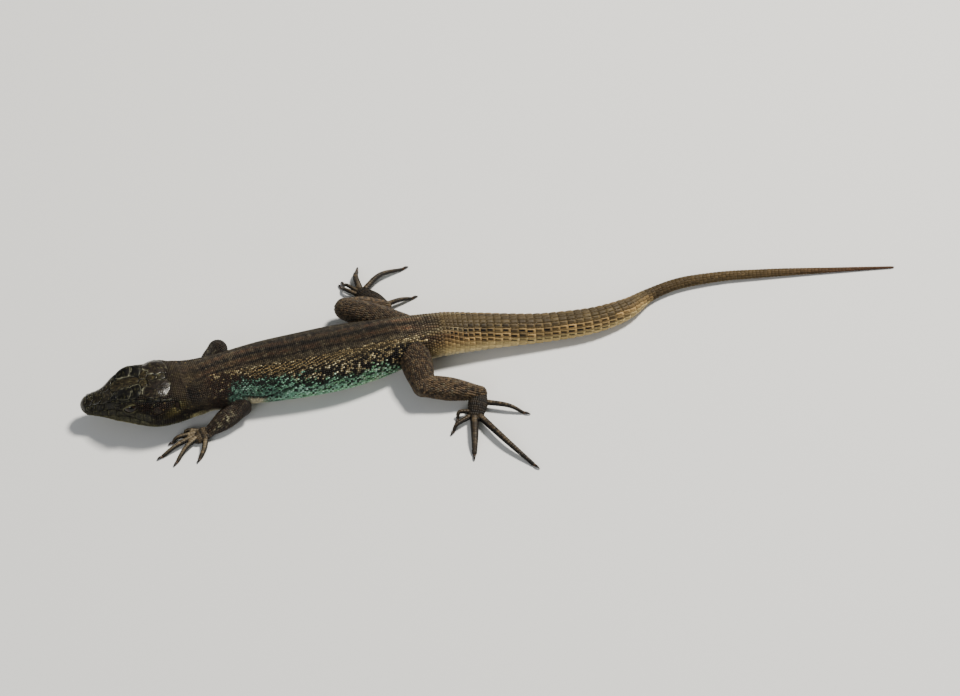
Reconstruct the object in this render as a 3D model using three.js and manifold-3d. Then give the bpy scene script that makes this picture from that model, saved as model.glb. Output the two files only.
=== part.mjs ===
// A wall lizard (Podarcis) at life size, basking flat on the ground with its head towards -X.
// Millimetres, +Z up, the ground at z = 0, -Y is the animal's left side.
//
// The body, from snout to tail tip, is one loft along the spine, parted into head, lower jaw, neck,
// trunk and four lengths of tail. Each leg is three pieces, cut back from the body and from each
// other, and each digit ends in a claw of its own. Everything is trimmed flat at the ground.

import * as THREE from "three";
import { mergeVertices } from "three/addons/utils/BufferGeometryUtils.js";
import Module from "manifold-3d";

const wasm = await Module();
wasm.setup();

// ---------------------------------------------------------------- driving sizes

const GAP = 0.22; // clear space between two pieces that meet
const SMALL_GAP = 0.17; // the same round an eye, along the mouth and at the root of a claw
const UP = new THREE.Vector3(0, 0, 1);

// The spine's route, at the height of the mouth and of the fold along the flank.
const SPINE = [
  [-81.5, -14.0, 4.6], // snout tip
  [-72.6, -12.8, 5.5], // between the eyes
  [-63.7, -11.6, 6.0], // back of the skull
  [-57.1, -9.4, 5.3], // neck
  [-48.6, -6.2, 4.5], // chest
  [-37.1, -3.3, 4.45],
  [-25.6, 0.0, 4.45],
  [-18.0, 2.7, 4.35], // hips
  [-12.1, 4.3, 4.25], // vent
  [-4.2, 5.6, 3.7],
  [10.7, 7.7, 2.75],
  [20.4, 10.1, 2.5],
  [25.9, 13.1, 2.1],
  [30.0, 16.9, 1.42], // the new growth of the tail starts
  [35.2, 19.9, 1.28],
  [44.2, 22.4, 1.05],
  [53.9, 23.6, 0.85],
  [68.8, 24.9, 0.5],
  [81.4, 25.9, 0.2], // tail tip
];

// A cross-section is a closed curve through eight points: top, brow, wide, jaw and bottom, and the
// mirrored side. brow, wide and jaw are [half width, height above the spine].
function oval(wide, top, bottom = top, fullness = 1) {
  const k = Math.SQRT1_2 * fullness;
  return { top, brow: [wide * k, top * k], wide: [wide, 0], jaw: [wide * k, -bottom * k], bottom };
}
const FULL = 1.05; // a basking trunk is a little squarer than an ellipse

// Sections by distance from the snout tip, along the spine.
const SECTIONS = [
  { s: 0, top: 1.4, brow: [1.1, 1.0], wide: [1.7, -0.1], jaw: [1.3, -1.1], bottom: 1.2 },
  { s: 2, top: 1.9, brow: [1.5, 1.4], wide: [2.35, -0.1], jaw: [1.8, -1.5], bottom: 1.6 },
  { s: 4.5, top: 2.5, brow: [2.0, 2.0], wide: [3.15, -0.1], jaw: [2.6, -1.8], bottom: 2.0 },
  { s: 6.5, top: 3.3, brow: [3.1, 3.1], wide: [3.9, 0.1], jaw: [3.5, -2.1], bottom: 2.4 },
  { s: 9.5, top: 4.1, brow: [4.2, 4.1], wide: [4.75, 0.5], jaw: [4.6, -2.4], bottom: 2.8 }, // eye
  { s: 12, top: 4.45, brow: [4.5, 4.1], wide: [5.6, 0.4], jaw: [5.4, -2.6], bottom: 3.1 },
  { s: 15, top: 4.7, brow: [5.1, 4.0], wide: [6.6, 0.3], jaw: [6.1, -2.7], bottom: 3.4 }, // temple
  { s: 18, top: 4.5, brow: [5.0, 3.5], wide: [6.6, 0.2], jaw: [5.8, -2.7], bottom: 3.6 }, // ear
  { s: 21.5, top: 4.35, brow: [4.6, 3.2], wide: [6.1, 0], jaw: [5.0, -2.6], bottom: 3.6 }, // nape
  { s: 25, ...oval(5.9, 4.4, 3.7, FULL) },
  { s: 30, ...oval(6.0, 4.6, 3.9, FULL) }, // shoulders
  { s: 37, ...oval(6.6, 5.0, 4.4, FULL) },
  { s: 44, ...oval(7.0, 5.1, 4.55, FULL) },
  { s: 52, ...oval(7.1, 5.0, 4.55, FULL) }, // widest part of the belly
  { s: 58, ...oval(6.4, 4.9, 4.55, FULL) },
  { s: 64, ...oval(5.3, 4.7, 4.5, FULL) },
  { s: 70, ...oval(4.75, 4.5, 4.4) }, // hips
  { s: 74, ...oval(4.35, 4.4, 4.3) },
  { s: 81, ...oval(3.75, 3.75) },
  { s: 91, ...oval(3.05, 3.05) },
  { s: 103, ...oval(2.65, 2.65) },
  { s: 111, ...oval(2.2, 2.2) },
  { s: 117.5, ...oval(1.45, 1.45) },
  { s: 127, ...oval(1.22, 1.22) },
  { s: 146, ...oval(0.92, 0.92) },
  { s: 158, ...oval(0.62, 0.62) },
  { s: 170, ...oval(0.38, 0.38) },
];

const NOSE_ROUNDING = 1.5; // length over which the snout closes to its tip
const TAIL_ROUNDING = 1.0;
const BLUNT = 0.02; // how far a rounded end stops short of closing to a point

// Where the body is parted, by distance from the snout tip.
const HEAD_END = 20.6;
const NECK_END = 29.5;
const VENT = 73;
const LEG_REACH = [17.6, 81]; // the stretch of the body that the legs are cut back from

// How finely the body is drawn.
const BODY_SIDES = 24;
const RINGS = { head: 15, neck: 5, trunk: 13, legReach: 22 };
const CROWDING = 1.5; // over 1 draws the head's rings together towards the snout

// ---------------------------------------------------------------- smooth curves

// A cubic through the values v at the knots k (arrays of numbers), evaluated at x.
function through(k, v, x) {
  const last = k.length - 1;
  let i = k.findIndex((_, n) => n < last && x <= k[n + 1]);
  if (i < 0) i = last - 1;
  const slope = (n) => (v[n + 1] - v[n]) / (k[n + 1] - k[n]);
  const tangent = (n) => {
    if (n === 0) return slope(0);
    if (n === last) return slope(last - 1);
    const before = k[n] - k[n - 1];
    const after = k[n + 1] - k[n];
    return (slope(n - 1) * after + slope(n) * before) / (before + after);
  };
  const h = k[i + 1] - k[i];
  const t = Math.min(Math.max((x - k[i]) / h, 0), 1);
  const t2 = t * t;
  const t3 = t2 * t;
  return (
    (2 * t3 - 3 * t2 + 1) * v[i] +
    (t3 - 2 * t2 + t) * h * tangent(i) +
    (3 * t2 - 2 * t3) * v[i + 1] +
    (t3 - t2) * h * tangent(i + 1)
  );
}

const spineKnots = SPINE.map(() => 0);
for (let i = 1; i < SPINE.length; i++) {
  const step = new THREE.Vector3(...SPINE[i]).distanceTo(new THREE.Vector3(...SPINE[i - 1]));
  spineKnots[i] = spineKnots[i - 1] + step;
}
const LENGTH = spineKnots.at(-1);

function spineAt(s) {
  const [x, y, z] = [0, 1, 2].map((axis) => through(spineKnots, SPINE.map((p) => p[axis]), s));
  return new THREE.Vector3(x, y, z);
}

// Origin and axes of the section at s: back points to the tail, left and up span the section.
function frameAt(s) {
  const step = 0.2;
  const back = spineAt(s + step).sub(spineAt(s - step)).setZ(0).normalize();
  return { at: spineAt(s), back, left: new THREE.Vector3().crossVectors(back, UP), up: UP };
}

// A point given in the section frame at s, in the part's frame.
function bodyPoint(s, left, up) {
  const f = frameAt(s);
  return f.at.addScaledVector(f.left, left).addScaledVector(f.up, up);
}

const sectionKnots = SECTIONS.map((q) => q.s);
function sectionAt(s) {
  const blend = (pick) => through(sectionKnots, SECTIONS.map(pick), s);
  const top = blend((q) => q.top);
  const bottom = blend((q) => q.bottom);
  const side = ["brow", "wide", "jaw"].map((k) => [blend((q) => q[k][0]), blend((q) => q[k][1])]);
  const mirrored = side.map(([w, z]) => [-w, z]).reverse();
  return [[0, top], ...side, [0, -bottom], ...mirrored];
}

// The closed curve through a section's points. angle 0 is the top, and a right angle the left side.
const ROUND = 0.555; // makes eight points of a circle give back the circle
function onSection(points, angle) {
  const n = points.length;
  const turn = ((angle / (2 * Math.PI)) * n + n) % n;
  const i = Math.floor(turn);
  const t = turn - i;
  const p = (k) => points[(i + k + n) % n];
  return [0, 1].map((c) => {
    const from = (p(1)[c] - p(-1)[c]) * ROUND;
    const to = (p(2)[c] - p(0)[c]) * ROUND;
    const a = p(0)[c];
    const b = p(1)[c];
    return a + t * (from + t * (3 * (b - a) - 2 * from - to + t * (2 * (a - b) + from + to)));
  });
}

// How far a rounded end has opened, at a distance x inside it: 0 at the tip and 1 once past length.
const opened = (x, length) => Math.sqrt(1 - (1 - Math.min(Math.max(x / length, 0), 1)) ** 2);

// ---------------------------------------------------------------- solids

function solidOf(geometry) {
  const bare = geometry.clone().deleteAttribute("normal").deleteAttribute("uv");
  const merged = mergeVertices(bare, 1e-4);
  return new wasm.Manifold(
    new wasm.Mesh({
      numProp: 3,
      vertProperties: merged.attributes.position.array,
      triVerts: new Uint32Array(merged.index.array),
    }),
  );
}

// A closed tube: a cylinder whose points place() puts on the real surface. along runs from 0 to 1,
// angle as in onSection(), and reach is 1 on the surface and 0 at the middle of an end cap.
function loft(sides, rings, place) {
  const geometry = new THREE.CylinderGeometry(1, 1, 1, sides, rings);
  const position = geometry.attributes.position;
  for (let i = 0; i < position.count; i++) {
    const [x, y, z] = [position.getX(i), position.getY(i), position.getZ(i)];
    const reach = Math.round(Math.hypot(x, z));
    const p = place(y + 0.5, reach ? Math.atan2(x, z) : 0, reach);
    position.setXYZ(i, p.x, p.y, p.z);
  }
  return solidOf(geometry);
}

// A length of the body from s0 to s1, thicker all round by grow.
function bodyLoft(s0, s1, sides, rings, grow = 0) {
  return loft(sides, rings, (along, angle, reach) => {
    const crowded = s0 <= 0 ? along ** CROWDING : along;
    const s = s0 + (s1 - s0) * crowded;
    const open = opened(s + BLUNT, NOSE_ROUNDING) * opened(LENGTH - s + BLUNT, TAIL_ROUNDING);
    const [w, z] = onSection(sectionAt(s), angle);
    const out = reach * (open + grow / Math.hypot(w, z));
    return bodyPoint(s, w * out, z * out);
  });
}

// A tapering limb piece between two joints, with round ends. Its half widths at even steps are
// girths, and flat is its height over its width.
function bone(from, to, girths, { flat = 1, sides = 10, rings = 7, grow = 0 } = {}) {
  const start = new THREE.Vector3(...from);
  const axis = new THREE.Vector3(...to).sub(start);
  const length = axis.length();
  axis.normalize();
  const left = new THREE.Vector3().crossVectors(axis, UP).normalize();
  const up = new THREE.Vector3().crossVectors(left, axis);
  const knots = girths.map((_, i) => (i / (girths.length - 1)) * length);
  const [first, last] = [girths[0] + grow, girths.at(-1) + grow];
  return loft(sides, rings, (along, angle, reach) => {
    const eased = (1 - Math.cos(Math.PI * along)) / 2;
    const d = -first + (length + first + last) * eased;
    const ends = opened(d + first + BLUNT, first) * opened(length + last - d + BLUNT, last);
    const r = (through(knots, girths, Math.min(Math.max(d, 0), length)) + grow) * ends * reach;
    return start
      .clone()
      .addScaledVector(axis, d)
      .addScaledVector(left, r * Math.sin(angle))
      .addScaledVector(up, r * flat * Math.cos(angle));
  });
}

// A tube along a curve through points, with the given radii at even steps, round at its far end.
function tube(points, radii, { sides = 6, rings = 4, tip = radii.at(-1) } = {}) {
  const places = points.map((p) => new THREE.Vector3(...p));
  const curve = new THREE.CatmullRomCurve3(places, false, "centripetal");
  const length = curve.getLength();
  const knots = radii.map((_, i) => i / (radii.length - 1));
  return loft(sides, rings, (along, angle, reach) => {
    const eased = Math.sin((along * Math.PI) / 2);
    const axis = curve.getTangentAt(eased);
    const left = new THREE.Vector3().crossVectors(axis, UP).normalize();
    const up = new THREE.Vector3().crossVectors(left, axis);
    const r = through(knots, radii, eased) * opened((1 - eased) * length + BLUNT, tip) * reach;
    return curve
      .getPointAt(eased)
      .addScaledVector(left, r * Math.sin(angle))
      .addScaledVector(up, r * Math.cos(angle));
  });
}

// A ball, drawn out by shape: along the body, round it, and along outward.
function ball(centre, outward, { radius, shape = [1, 1, 1], segments = 12 }) {
  const geometry = new THREE.SphereGeometry(radius, segments, Math.round(segments * 0.7));
  const turn = new THREE.Quaternion().setFromUnitVectors(UP, outward);
  geometry.rotateX(Math.PI / 2).scale(...shape).applyQuaternion(turn);
  return solidOf(geometry.translate(centre.x, centre.y, centre.z));
}

// ---------------------------------------------------------------- meshes

const colours = {
  skin: { color: 0x3a2f22, roughness: 0.55, metalness: 0 },
  eye: { color: 0x120d08, roughness: 0.1, metalness: 0 },
  eardrum: { color: 0x241b14, roughness: 0.5, metalness: 0 },
  claw: { color: 0x1b1410, roughness: 0.35, metalness: 0 },
};
const lizard = new THREE.Group();

// Trims a solid flat at the ground and adds its largest body to the model as a named mesh.
function add(name, solid, look) {
  const onGround = solid.trimByPlane([0, 0, 1], 0);
  const body = onGround.decompose().sort((a, b) => b.volume() - a.volume())[0];
  const { vertProperties, triVerts } = body.getMesh();
  const geometry = new THREE.BufferGeometry();
  geometry.setAttribute("position", new THREE.BufferAttribute(new Float32Array(vertProperties), 3));
  geometry.setIndex(new THREE.BufferAttribute(new Uint32Array(triVerts), 1));
  geometry.computeVertexNormals();
  const mesh = new THREE.Mesh(geometry, new THREE.MeshStandardMaterial(colours[look]));
  mesh.name = name;
  lizard.add(mesh);
  return body;
}

// ---------------------------------------------------------------- head

// Places on the head: distance from the snout tip, angle from the top, and depth under the skin.
const degrees = Math.PI / 180;
const EYE = { s: 10.2, angle: 66 * degrees, depth: 1.45, radius: 1.75 };
const SOCKET = { ...EYE, radius: EYE.radius + SMALL_GAP };
const EAR = { s: 18.3, angle: 62 * degrees, segments: 8 };
const EAR_HOLE = { ...EAR, depth: 0.1, radius: 1, shape: [0.85, 1.25, 1] };
const EARDRUM = { ...EAR, depth: 0.62, radius: 0.85, shape: [0.6, 1, 0.26] };
const NOSTRIL = { s: 1.5, angle: 64 * degrees, depth: 0.05, radius: 0.32, segments: 6 };
const SIDES = { left: 1, right: -1 };

// The lower jaw seen from the side, as distances from the snout tip and heights over the spine:
// the line of the mouth, the rear edge from the corner of the mouth down, and its front below.
const MOUTH = [[-2, -0.45], [3, -0.5], [8, -0.35], [13.6, -1.0]];
const JAW_REAR = [[14.8, -3.2], [15.2, -6]];
const JAW_FRONT = [-2, -6];
const JAW_SPINE = [0.2, 14]; // the stretch of the spine that this side view is laid along
const JAW_SPACE_WIDTH = 18;

// The space of the lower jaw, run right across the head. inset draws its mouth line and its rear
// edge in, so that the jaw fits the head's cut with a gap.
function jawSpace(inset) {
  const outline = new THREE.Shape();
  const [front, ...mouth] = MOUTH.map(([s, z]) => new THREE.Vector2(s, z - inset));
  mouth.at(-1).x -= inset;
  outline.moveTo(front.x, front.y);
  outline.splineThru(mouth);
  JAW_REAR.forEach(([s, z]) => outline.lineTo(s - inset, z));
  outline.lineTo(...JAW_FRONT);
  const slab = new THREE.ExtrudeGeometry(outline, {
    depth: JAW_SPACE_WIDTH,
    bevelEnabled: false,
    curveSegments: 4,
  });
  slab.translate(0, 0, -JAW_SPACE_WIDTH / 2);
  const [from, to] = JAW_SPINE.map(spineAt);
  const back = to.sub(from).normalize();
  const right = new THREE.Vector3().crossVectors(UP, back).normalize();
  const up = new THREE.Vector3().crossVectors(back, right);
  slab.applyMatrix4(new THREE.Matrix4().makeBasis(back, up, right.negate()).setPosition(from));
  return solidOf(slab);
}

const wholeHead = bodyLoft(0, HEAD_END, BODY_SIDES, RINGS.head);
let head = wholeHead.subtract(jawSpace(0));
const jaw = wholeHead.intersect(jawSpace(SMALL_GAP));

for (const [side, sign] of Object.entries(SIDES)) {
  const place = ({ s, angle, depth }) => {
    const [w, z] = onSection(sectionAt(s), angle * sign);
    const kept = opened(s, NOSE_ROUNDING) - depth / Math.hypot(w, z);
    return bodyPoint(s, w * kept, z * kept);
  };
  const shaped = (form) => {
    const outward = place({ ...form, depth: 0 }).sub(place({ ...form, depth: 1 }));
    return ball(place(form), outward.normalize(), form);
  };
  for (const hollow of [SOCKET, EAR_HOLE, NOSTRIL]) {
    head = head.subtract(shaped(hollow));
  }
  add(`eye_${side}`, shaped(EYE), "eye");
  add(`ear_${side}`, shaped(EARDRUM), "eardrum");
}
add("head", head, "skin");
add("lower_jaw", jaw, "skin");

// ---------------------------------------------------------------- neck, trunk and tail

add("neck", bodyLoft(HEAD_END + GAP, NECK_END, BODY_SIDES, RINGS.neck), "skin");
add("trunk", bodyLoft(NECK_END + GAP, VENT, BODY_SIDES, RINGS.trunk), "skin");

// The four lengths of the tail, each with the distance from the snout tip at which it ends.
const TAIL = [
  { end: 95, sides: 18, rings: 7 },
  { end: 117, sides: 16, rings: 8 },
  { end: 141, sides: 12, rings: 8 },
  { end: LENGTH, sides: 8, rings: 7 },
];
TAIL.forEach(({ end, sides, rings }, i) => {
  const start = i === 0 ? VENT : TAIL[i - 1].end;
  add(`tail_${i + 1}`, bodyLoft(start + GAP, end, sides, rings), "skin");
});

// ---------------------------------------------------------------- legs

const bodyGrown = bodyLoft(...LEG_REACH, BODY_SIDES, RINGS.legReach, GAP);

const PAW_SHAPE = { sides: 8, rings: 6 };
const DIGIT_REST = 0.5; // height of a digit's end over the ground, as a share of its radius
const CLAW = {
  radii: [0.34, 0.28, 0.16],
  arch: 0.15, // how far the middle stands over the root
  rest: 0.16, // height of the point over the ground
  shape: { sides: 5, rings: 4, tip: 0.2 },
};

const FORE = {
  names: ["upper_arm", "forearm", "hand"],
  upper: [2.2, 2.1, 2.0],
  lower: [1.9, 2.0, 1.15],
  paw: [1.15, 1.65, 1.5],
  pawFlat: 0.6,
  digit: [0.58, 0.5, 0.38],
  claw: 1.1,
};
const HIND = {
  names: ["thigh", "shank", "foot"],
  upper: [3.1, 3.1, 2.3],
  lower: [2.2, 2.3, 1.4],
  paw: [1.4, 2.0, 1.6],
  pawFlat: 0.65,
  digit: [0.82, 0.68, 0.45],
  claw: 1.3,
};

// Joints from the body outwards. A digit runs from its base over its knuckle to the claw's tip, and
// its thickness is a share of its kind's.
const LEGS = {
  left_fore: {
    kind: FORE,
    joints: [[-55.0, -10.9, 4.3], [-50.3, -13.3, 3.3], [-56.2, -17.9, 1.5], [-58.4, -18.9, 0.85]],
    digits: [
      [[-58.4, -17.6, 1.1], [-60.8, -17.6, 1.2], [-61.7, -18.4, 0.1], 0.95],
      [[-59.0, -18.1, 1.1], [-62.6, -19.3, 1.1], [-64.3, -20.4, 0.1], 1],
      [[-59.2, -18.7, 1.1], [-62.8, -21.3, 1.0], [-66.2, -24.0, 0.1], 1],
      [[-58.8, -19.2, 1.1], [-60.8, -21.8, 1.0], [-62.8, -25.6, 0.1], 1],
      [[-57.0, -19.2, 1.1], [-57.1, -21.8, 1.0], [-58.3, -24.8, 0.1], 1.1],
    ],
  },
  right_fore: {
    kind: FORE,
    joints: [[-57.4, -5.6, 4.4], [-55.6, -0.2, 5.0], [-58.6, -3.6, 1.5], [-61.2, -4.6, 0.85]],
    digits: [
      [[-60.4, -5.2, 1.1], [-62.6, -6.9, 1.2], [-63.8, -7.9, 0.1], 0.95],
      [[-61.2, -5.1, 1.1], [-64.6, -6.9, 1.1], [-66.8, -7.9, 0.1], 1],
      [[-61.6, -4.7, 1.1], [-65.8, -5.9, 1.1], [-69.3, -6.8, 0.1], 1],
      [[-61.4, -4.1, 1.1], [-65.5, -4.4, 1.1], [-69.0, -4.8, 0.1], 1],
      [[-60.4, -3.5, 1.1], [-63.2, -2.8, 1.0], [-65.4, -2.3, 0.1], 1.1],
    ],
  },
  left_hind: {
    kind: HIND,
    joints: [[-17.0, -0.2, 4.7], [-14.9, -8.6, 4.0], [-3.8, -8.9, 2.2], [-4.6, -13.3, 0.9]],
    digits: [
      [[-5.9, -12.8, 1.2], [-7.9, -13.1, 1.3], [-8.5, -15.1, 0.1], 0.65],
      [[-5.8, -14.0, 1.2], [-8.5, -16.3, 1.2], [-9.5, -18.0, 0.1], 0.68],
      [[-4.9, -14.2, 1.2], [-4.8, -19.5, 1.3], [-4.9, -24.2, 0.1], 1.1],
      [[-3.9, -14.0, 1.3], [1.3, -20.2, 1.5], [7.7, -26.2, 0.1], 0.9],
      [[-3.2, -10.6, 1.5], [2.0, -11.5, 1.4], [6.1, -12.7, 0.1], 0.75],
    ],
  },
  right_hind: {
    kind: HIND,
    joints: [[-19.4, 5.6, 4.7], [-30.8, 11.3, 4.0], [-23.0, 13.3, 2.2], [-27.9, 18.2, 0.9]],
    digits: [
      [[-28.8, 17.6, 1.2], [-31.3, 19.0, 1.2], [-32.7, 21.1, 0.1], 0.62],
      [[-28.5, 18.4, 1.2], [-30.9, 20.1, 1.2], [-32.2, 21.9, 0.1], 0.62],
      [[-28.2, 18.9, 1.15], [-29.2, 22.4, 1.3], [-28.9, 25.9, 0.1], 0.9],
      [[-27.2, 18.9, 1.3], [-24.2, 22.7, 1.4], [-18.5, 26.0, 0.1], 0.8],
      [[-22.8, 14.6, 1.5], [-19.9, 16.1, 1.3], [-16.4, 18.0, 0.1], 0.75],
    ],
  },
};

for (const [leg, { kind, joints, digits }] of Object.entries(LEGS)) {
  const [hip, knee, ankle, knuckles] = joints;
  const upper = (grow) => bone(hip, knee, kind.upper, { grow });
  const lower = (grow) => bone(knee, ankle, kind.lower, { grow });
  const [upperName, lowerName, pawName] = kind.names.map((n) => `${leg}_${n}`);

  let paw = bone(ankle, knuckles, kind.paw, { flat: kind.pawFlat, ...PAW_SHAPE });
  const claws = [];
  digits.forEach(([base, knuckle, tip, thickness], i) => {
    const radii = kind.digit.map((r) => r * thickness);
    const to = new THREE.Vector3(...tip);
    const reach = to.clone().sub(new THREE.Vector3(...knuckle)).setZ(0);
    const clawLength = Math.min(kind.claw, reach.length() / 2);
    reach.normalize();
    const end = to.clone().addScaledVector(reach, -clawLength).setZ(radii.at(-1) * DIGIT_REST);
    const flesh = [base, knuckle, end.toArray()];
    paw = paw.add(tube(flesh, radii));

    const root = end.clone().addScaledVector(reach, SMALL_GAP);
    const arch = end.clone().lerp(to, 0.5).setZ(end.z + CLAW.arch);
    const point = to.clone().setZ(CLAW.rest);
    const bend = [root, arch, point].map((p) => p.toArray());
    claws.push(tube(bend, CLAW.radii, CLAW.shape));
  });

  add(upperName, upper(0).subtract(bodyGrown), "skin");
  add(lowerName, lower(0).subtract(upper(GAP)).subtract(bodyGrown), "skin");
  add(pawName, paw.subtract(lower(GAP)).subtract(upper(GAP)).subtract(bodyGrown), "skin");
  claws.forEach((claw, i) => add(`${leg}_claw_${i + 1}`, claw, "claw"));
}

export default lizard;
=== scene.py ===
"""Wall lizard, life size: one skin over the frame's flesh, a coat of solid scales, eyes and claws.

Lengths are worked out in millimetres, in the frame's axes, and become metres as a mesh is made.
The head points to -X, +Z is up, the ground is z = 0 and -Y is the animal's left side.
"""

import math

import bmesh
import bpy
import numpy as np
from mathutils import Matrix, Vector, kdtree
from mathutils.bvhtree import BVHTree


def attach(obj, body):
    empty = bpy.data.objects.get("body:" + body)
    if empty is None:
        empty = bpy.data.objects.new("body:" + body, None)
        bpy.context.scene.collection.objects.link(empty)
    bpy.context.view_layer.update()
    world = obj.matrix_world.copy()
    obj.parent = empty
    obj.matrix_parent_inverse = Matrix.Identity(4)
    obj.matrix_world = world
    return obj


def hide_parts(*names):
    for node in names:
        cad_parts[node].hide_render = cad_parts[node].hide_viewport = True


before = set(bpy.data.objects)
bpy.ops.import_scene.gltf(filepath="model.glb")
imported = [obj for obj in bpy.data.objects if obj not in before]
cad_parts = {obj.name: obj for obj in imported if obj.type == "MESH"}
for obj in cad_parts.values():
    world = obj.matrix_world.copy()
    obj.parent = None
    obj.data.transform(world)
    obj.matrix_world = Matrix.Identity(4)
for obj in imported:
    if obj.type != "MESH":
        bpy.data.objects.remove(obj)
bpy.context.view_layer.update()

MM = 0.001
UP = np.array([0.0, 0.0, 1.0])
SIDES = {"left": 1, "right": -1}
rng = np.random.default_rng(7)

# ---------------------------------------------------------------- smooth curves and rings of points


def unit(v):
    return v / np.maximum(np.linalg.norm(v, axis=-1, keepdims=True), 1e-12)


def smooth(edge0, edge1, x):
    t = np.clip((np.asarray(x, float) - edge0) / (edge1 - edge0), 0, 1)
    return t * t * (3 - 2 * t)


def bump(x, centre, width):
    """1 at the centre, falling smoothly to about 0 two widths away."""
    return np.exp(-(((np.asarray(x, float) - centre) / width) ** 2))


def knots(pairs, x):
    """Straight lines through the pairs, evaluated at x."""
    xs, ys = zip(*pairs)
    return np.interp(x, xs, ys)


def through(places, values, x):
    """A cubic through the values at the places, evaluated at the array x."""
    k = np.asarray(places, float)
    v = np.asarray(values, float)
    x = np.atleast_1d(np.asarray(x, float))
    i = np.clip(np.searchsorted(k, x, side="left") - 1, 0, len(k) - 2)
    h = np.diff(k)
    shape = (-1,) + (1,) * (v.ndim - 1)
    slope = np.diff(v, axis=0) / h.reshape(shape)
    tangent = np.empty_like(v)
    tangent[0], tangent[-1] = slope[0], slope[-1]
    before, after = h[:-1].reshape(shape), h[1:].reshape(shape)
    tangent[1:-1] = (slope[:-1] * after + slope[1:] * before) / (before + after)
    t = np.clip((x - k[i]) / h[i], 0, 1).reshape(shape)
    step = h[i].reshape(shape)
    return (
        (2 * t**3 - 3 * t**2 + 1) * v[i]
        + (t**3 - 2 * t**2 + t) * step * tangent[i]
        + (3 * t**2 - 2 * t**3) * v[i + 1]
        + (t**3 - t**2) * step * tangent[i + 1]
    )


def opened(x, length):
    """How far a round end of that length has opened, from 0 at its tip to 1."""
    return np.sqrt(1 - (1 - np.clip(np.asarray(x, float) / length, 0, 1)) ** 2)


def lengths_along(points):
    """How far each point lies from the first, along the line through them all."""
    return np.concatenate([[0], np.cumsum(np.linalg.norm(np.diff(points, axis=0), axis=1))])


def grid(rows, columns):
    """Every value of the rows with every one of the columns, as two flat arrays."""
    return (g.ravel() for g in np.meshgrid(rows, columns, indexing="ij"))


def ring_quads(rings, around):
    """The faces between rings of points, each of them closed on itself."""
    i, j = grid(np.arange(rings - 1), np.arange(around))
    k = (j + 1) % around
    return np.stack([i * around + j, i * around + k, (i + 1) * around + k, (i + 1) * around + j], 1)


def end_rings(rings, around):
    """The points of the first ring and of the last one."""
    return list(range(around)), list(range((rings - 1) * around, rings * around))


# ---------------------------------------------------------------- the body's sizes, as in the solids

SPINE = np.array([
    [-81.5, -14.0, 4.6], [-72.6, -12.8, 5.5], [-63.7, -11.6, 6.0], [-57.1, -9.4, 5.3],
    [-48.6, -6.2, 4.5], [-37.1, -3.3, 4.45], [-25.6, 0.0, 4.45], [-18.0, 2.7, 4.35],
    [-12.1, 4.3, 4.25], [-4.2, 5.6, 3.7], [10.7, 7.7, 2.75], [20.4, 10.1, 2.5],
    [25.9, 13.1, 2.1], [30.0, 16.9, 1.42], [35.2, 19.9, 1.28], [44.2, 22.4, 1.05],
    [53.9, 23.6, 0.85], [68.8, 24.9, 0.5], [81.4, 25.9, 0.2],
])
SPINE_KNOTS = lengths_along(SPINE)
LENGTH = SPINE_KNOTS[-1]


def oval(wide, top, bottom, fullness=1.0):
    k = math.sqrt(0.5) * fullness
    return (top, wide * k, top * k, wide, 0.0, wide * k, -bottom * k, bottom)


FULL = 1.05  # how much fuller than an ellipse the trunk's sections are at their corners
# Distance from the snout tip, then top, brow (width, height), wide (w, h), jaw (w, h) and bottom.
SECTIONS = [
    (0, (1.4, 1.1, 1.0, 1.7, -0.1, 1.3, -1.1, 1.2)),
    (2, (1.9, 1.5, 1.4, 2.35, -0.1, 1.8, -1.5, 1.6)),
    (4.5, (2.5, 2.0, 2.0, 3.15, -0.1, 2.6, -1.8, 2.0)),
    (6.5, (3.3, 3.1, 3.1, 3.9, 0.1, 3.5, -2.1, 2.4)),
    (9.5, (4.1, 4.2, 4.1, 4.75, 0.5, 4.6, -2.4, 2.8)),
    (12, (4.45, 4.5, 4.1, 5.6, 0.4, 5.4, -2.6, 3.1)),
    (15, (4.7, 5.1, 4.0, 6.6, 0.3, 6.1, -2.7, 3.4)),
    (18, (4.5, 5.0, 3.5, 6.6, 0.2, 5.8, -2.7, 3.6)),
    (21.5, (4.35, 4.6, 3.2, 6.1, 0, 5.0, -2.6, 3.6)),
    (25, oval(5.9, 4.4, 3.7, FULL)),
    (30, oval(6.0, 4.6, 3.9, FULL)),
    (37, oval(6.6, 5.0, 4.4, FULL)),
    (44, oval(7.0, 5.1, 4.55, FULL)),
    (52, oval(7.1, 5.0, 4.55, FULL)),
    (58, oval(6.4, 4.9, 4.55, FULL)),
    (64, oval(5.3, 4.7, 4.5, FULL)),
    (70, oval(4.75, 4.5, 4.4)),
    (74, oval(4.35, 4.4, 4.3)),
] + [(s, oval(r, r, r)) for s, r in [
    (81, 3.75), (91, 3.05), (103, 2.65), (111, 2.2), (117.5, 1.45),
    (127, 1.22), (146, 0.92), (158, 0.62), (170, 0.38),
]]
SECTION_KNOTS = np.array([s for s, _ in SECTIONS], float)
SECTION_VALUES = np.array([v for _, v in SECTIONS], float)
NOSE_ROUNDING = 1.5
TAIL_ROUNDING = 1.0
ROUND = 0.555  # makes eight points of a circle give back the circle
BLUNT = 0.02  # keeps a round end a little open at its tip

# How far inside the solids the skin lies, which is the room for the scales on it.
COAT = 0.2
PAW_COAT = COAT * 0.7
DIGIT_COAT = 0.09

# ---------------------------------------------------------------- the spine and the sections


def spine_at(s):
    return through(SPINE_KNOTS, SPINE, s)


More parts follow.
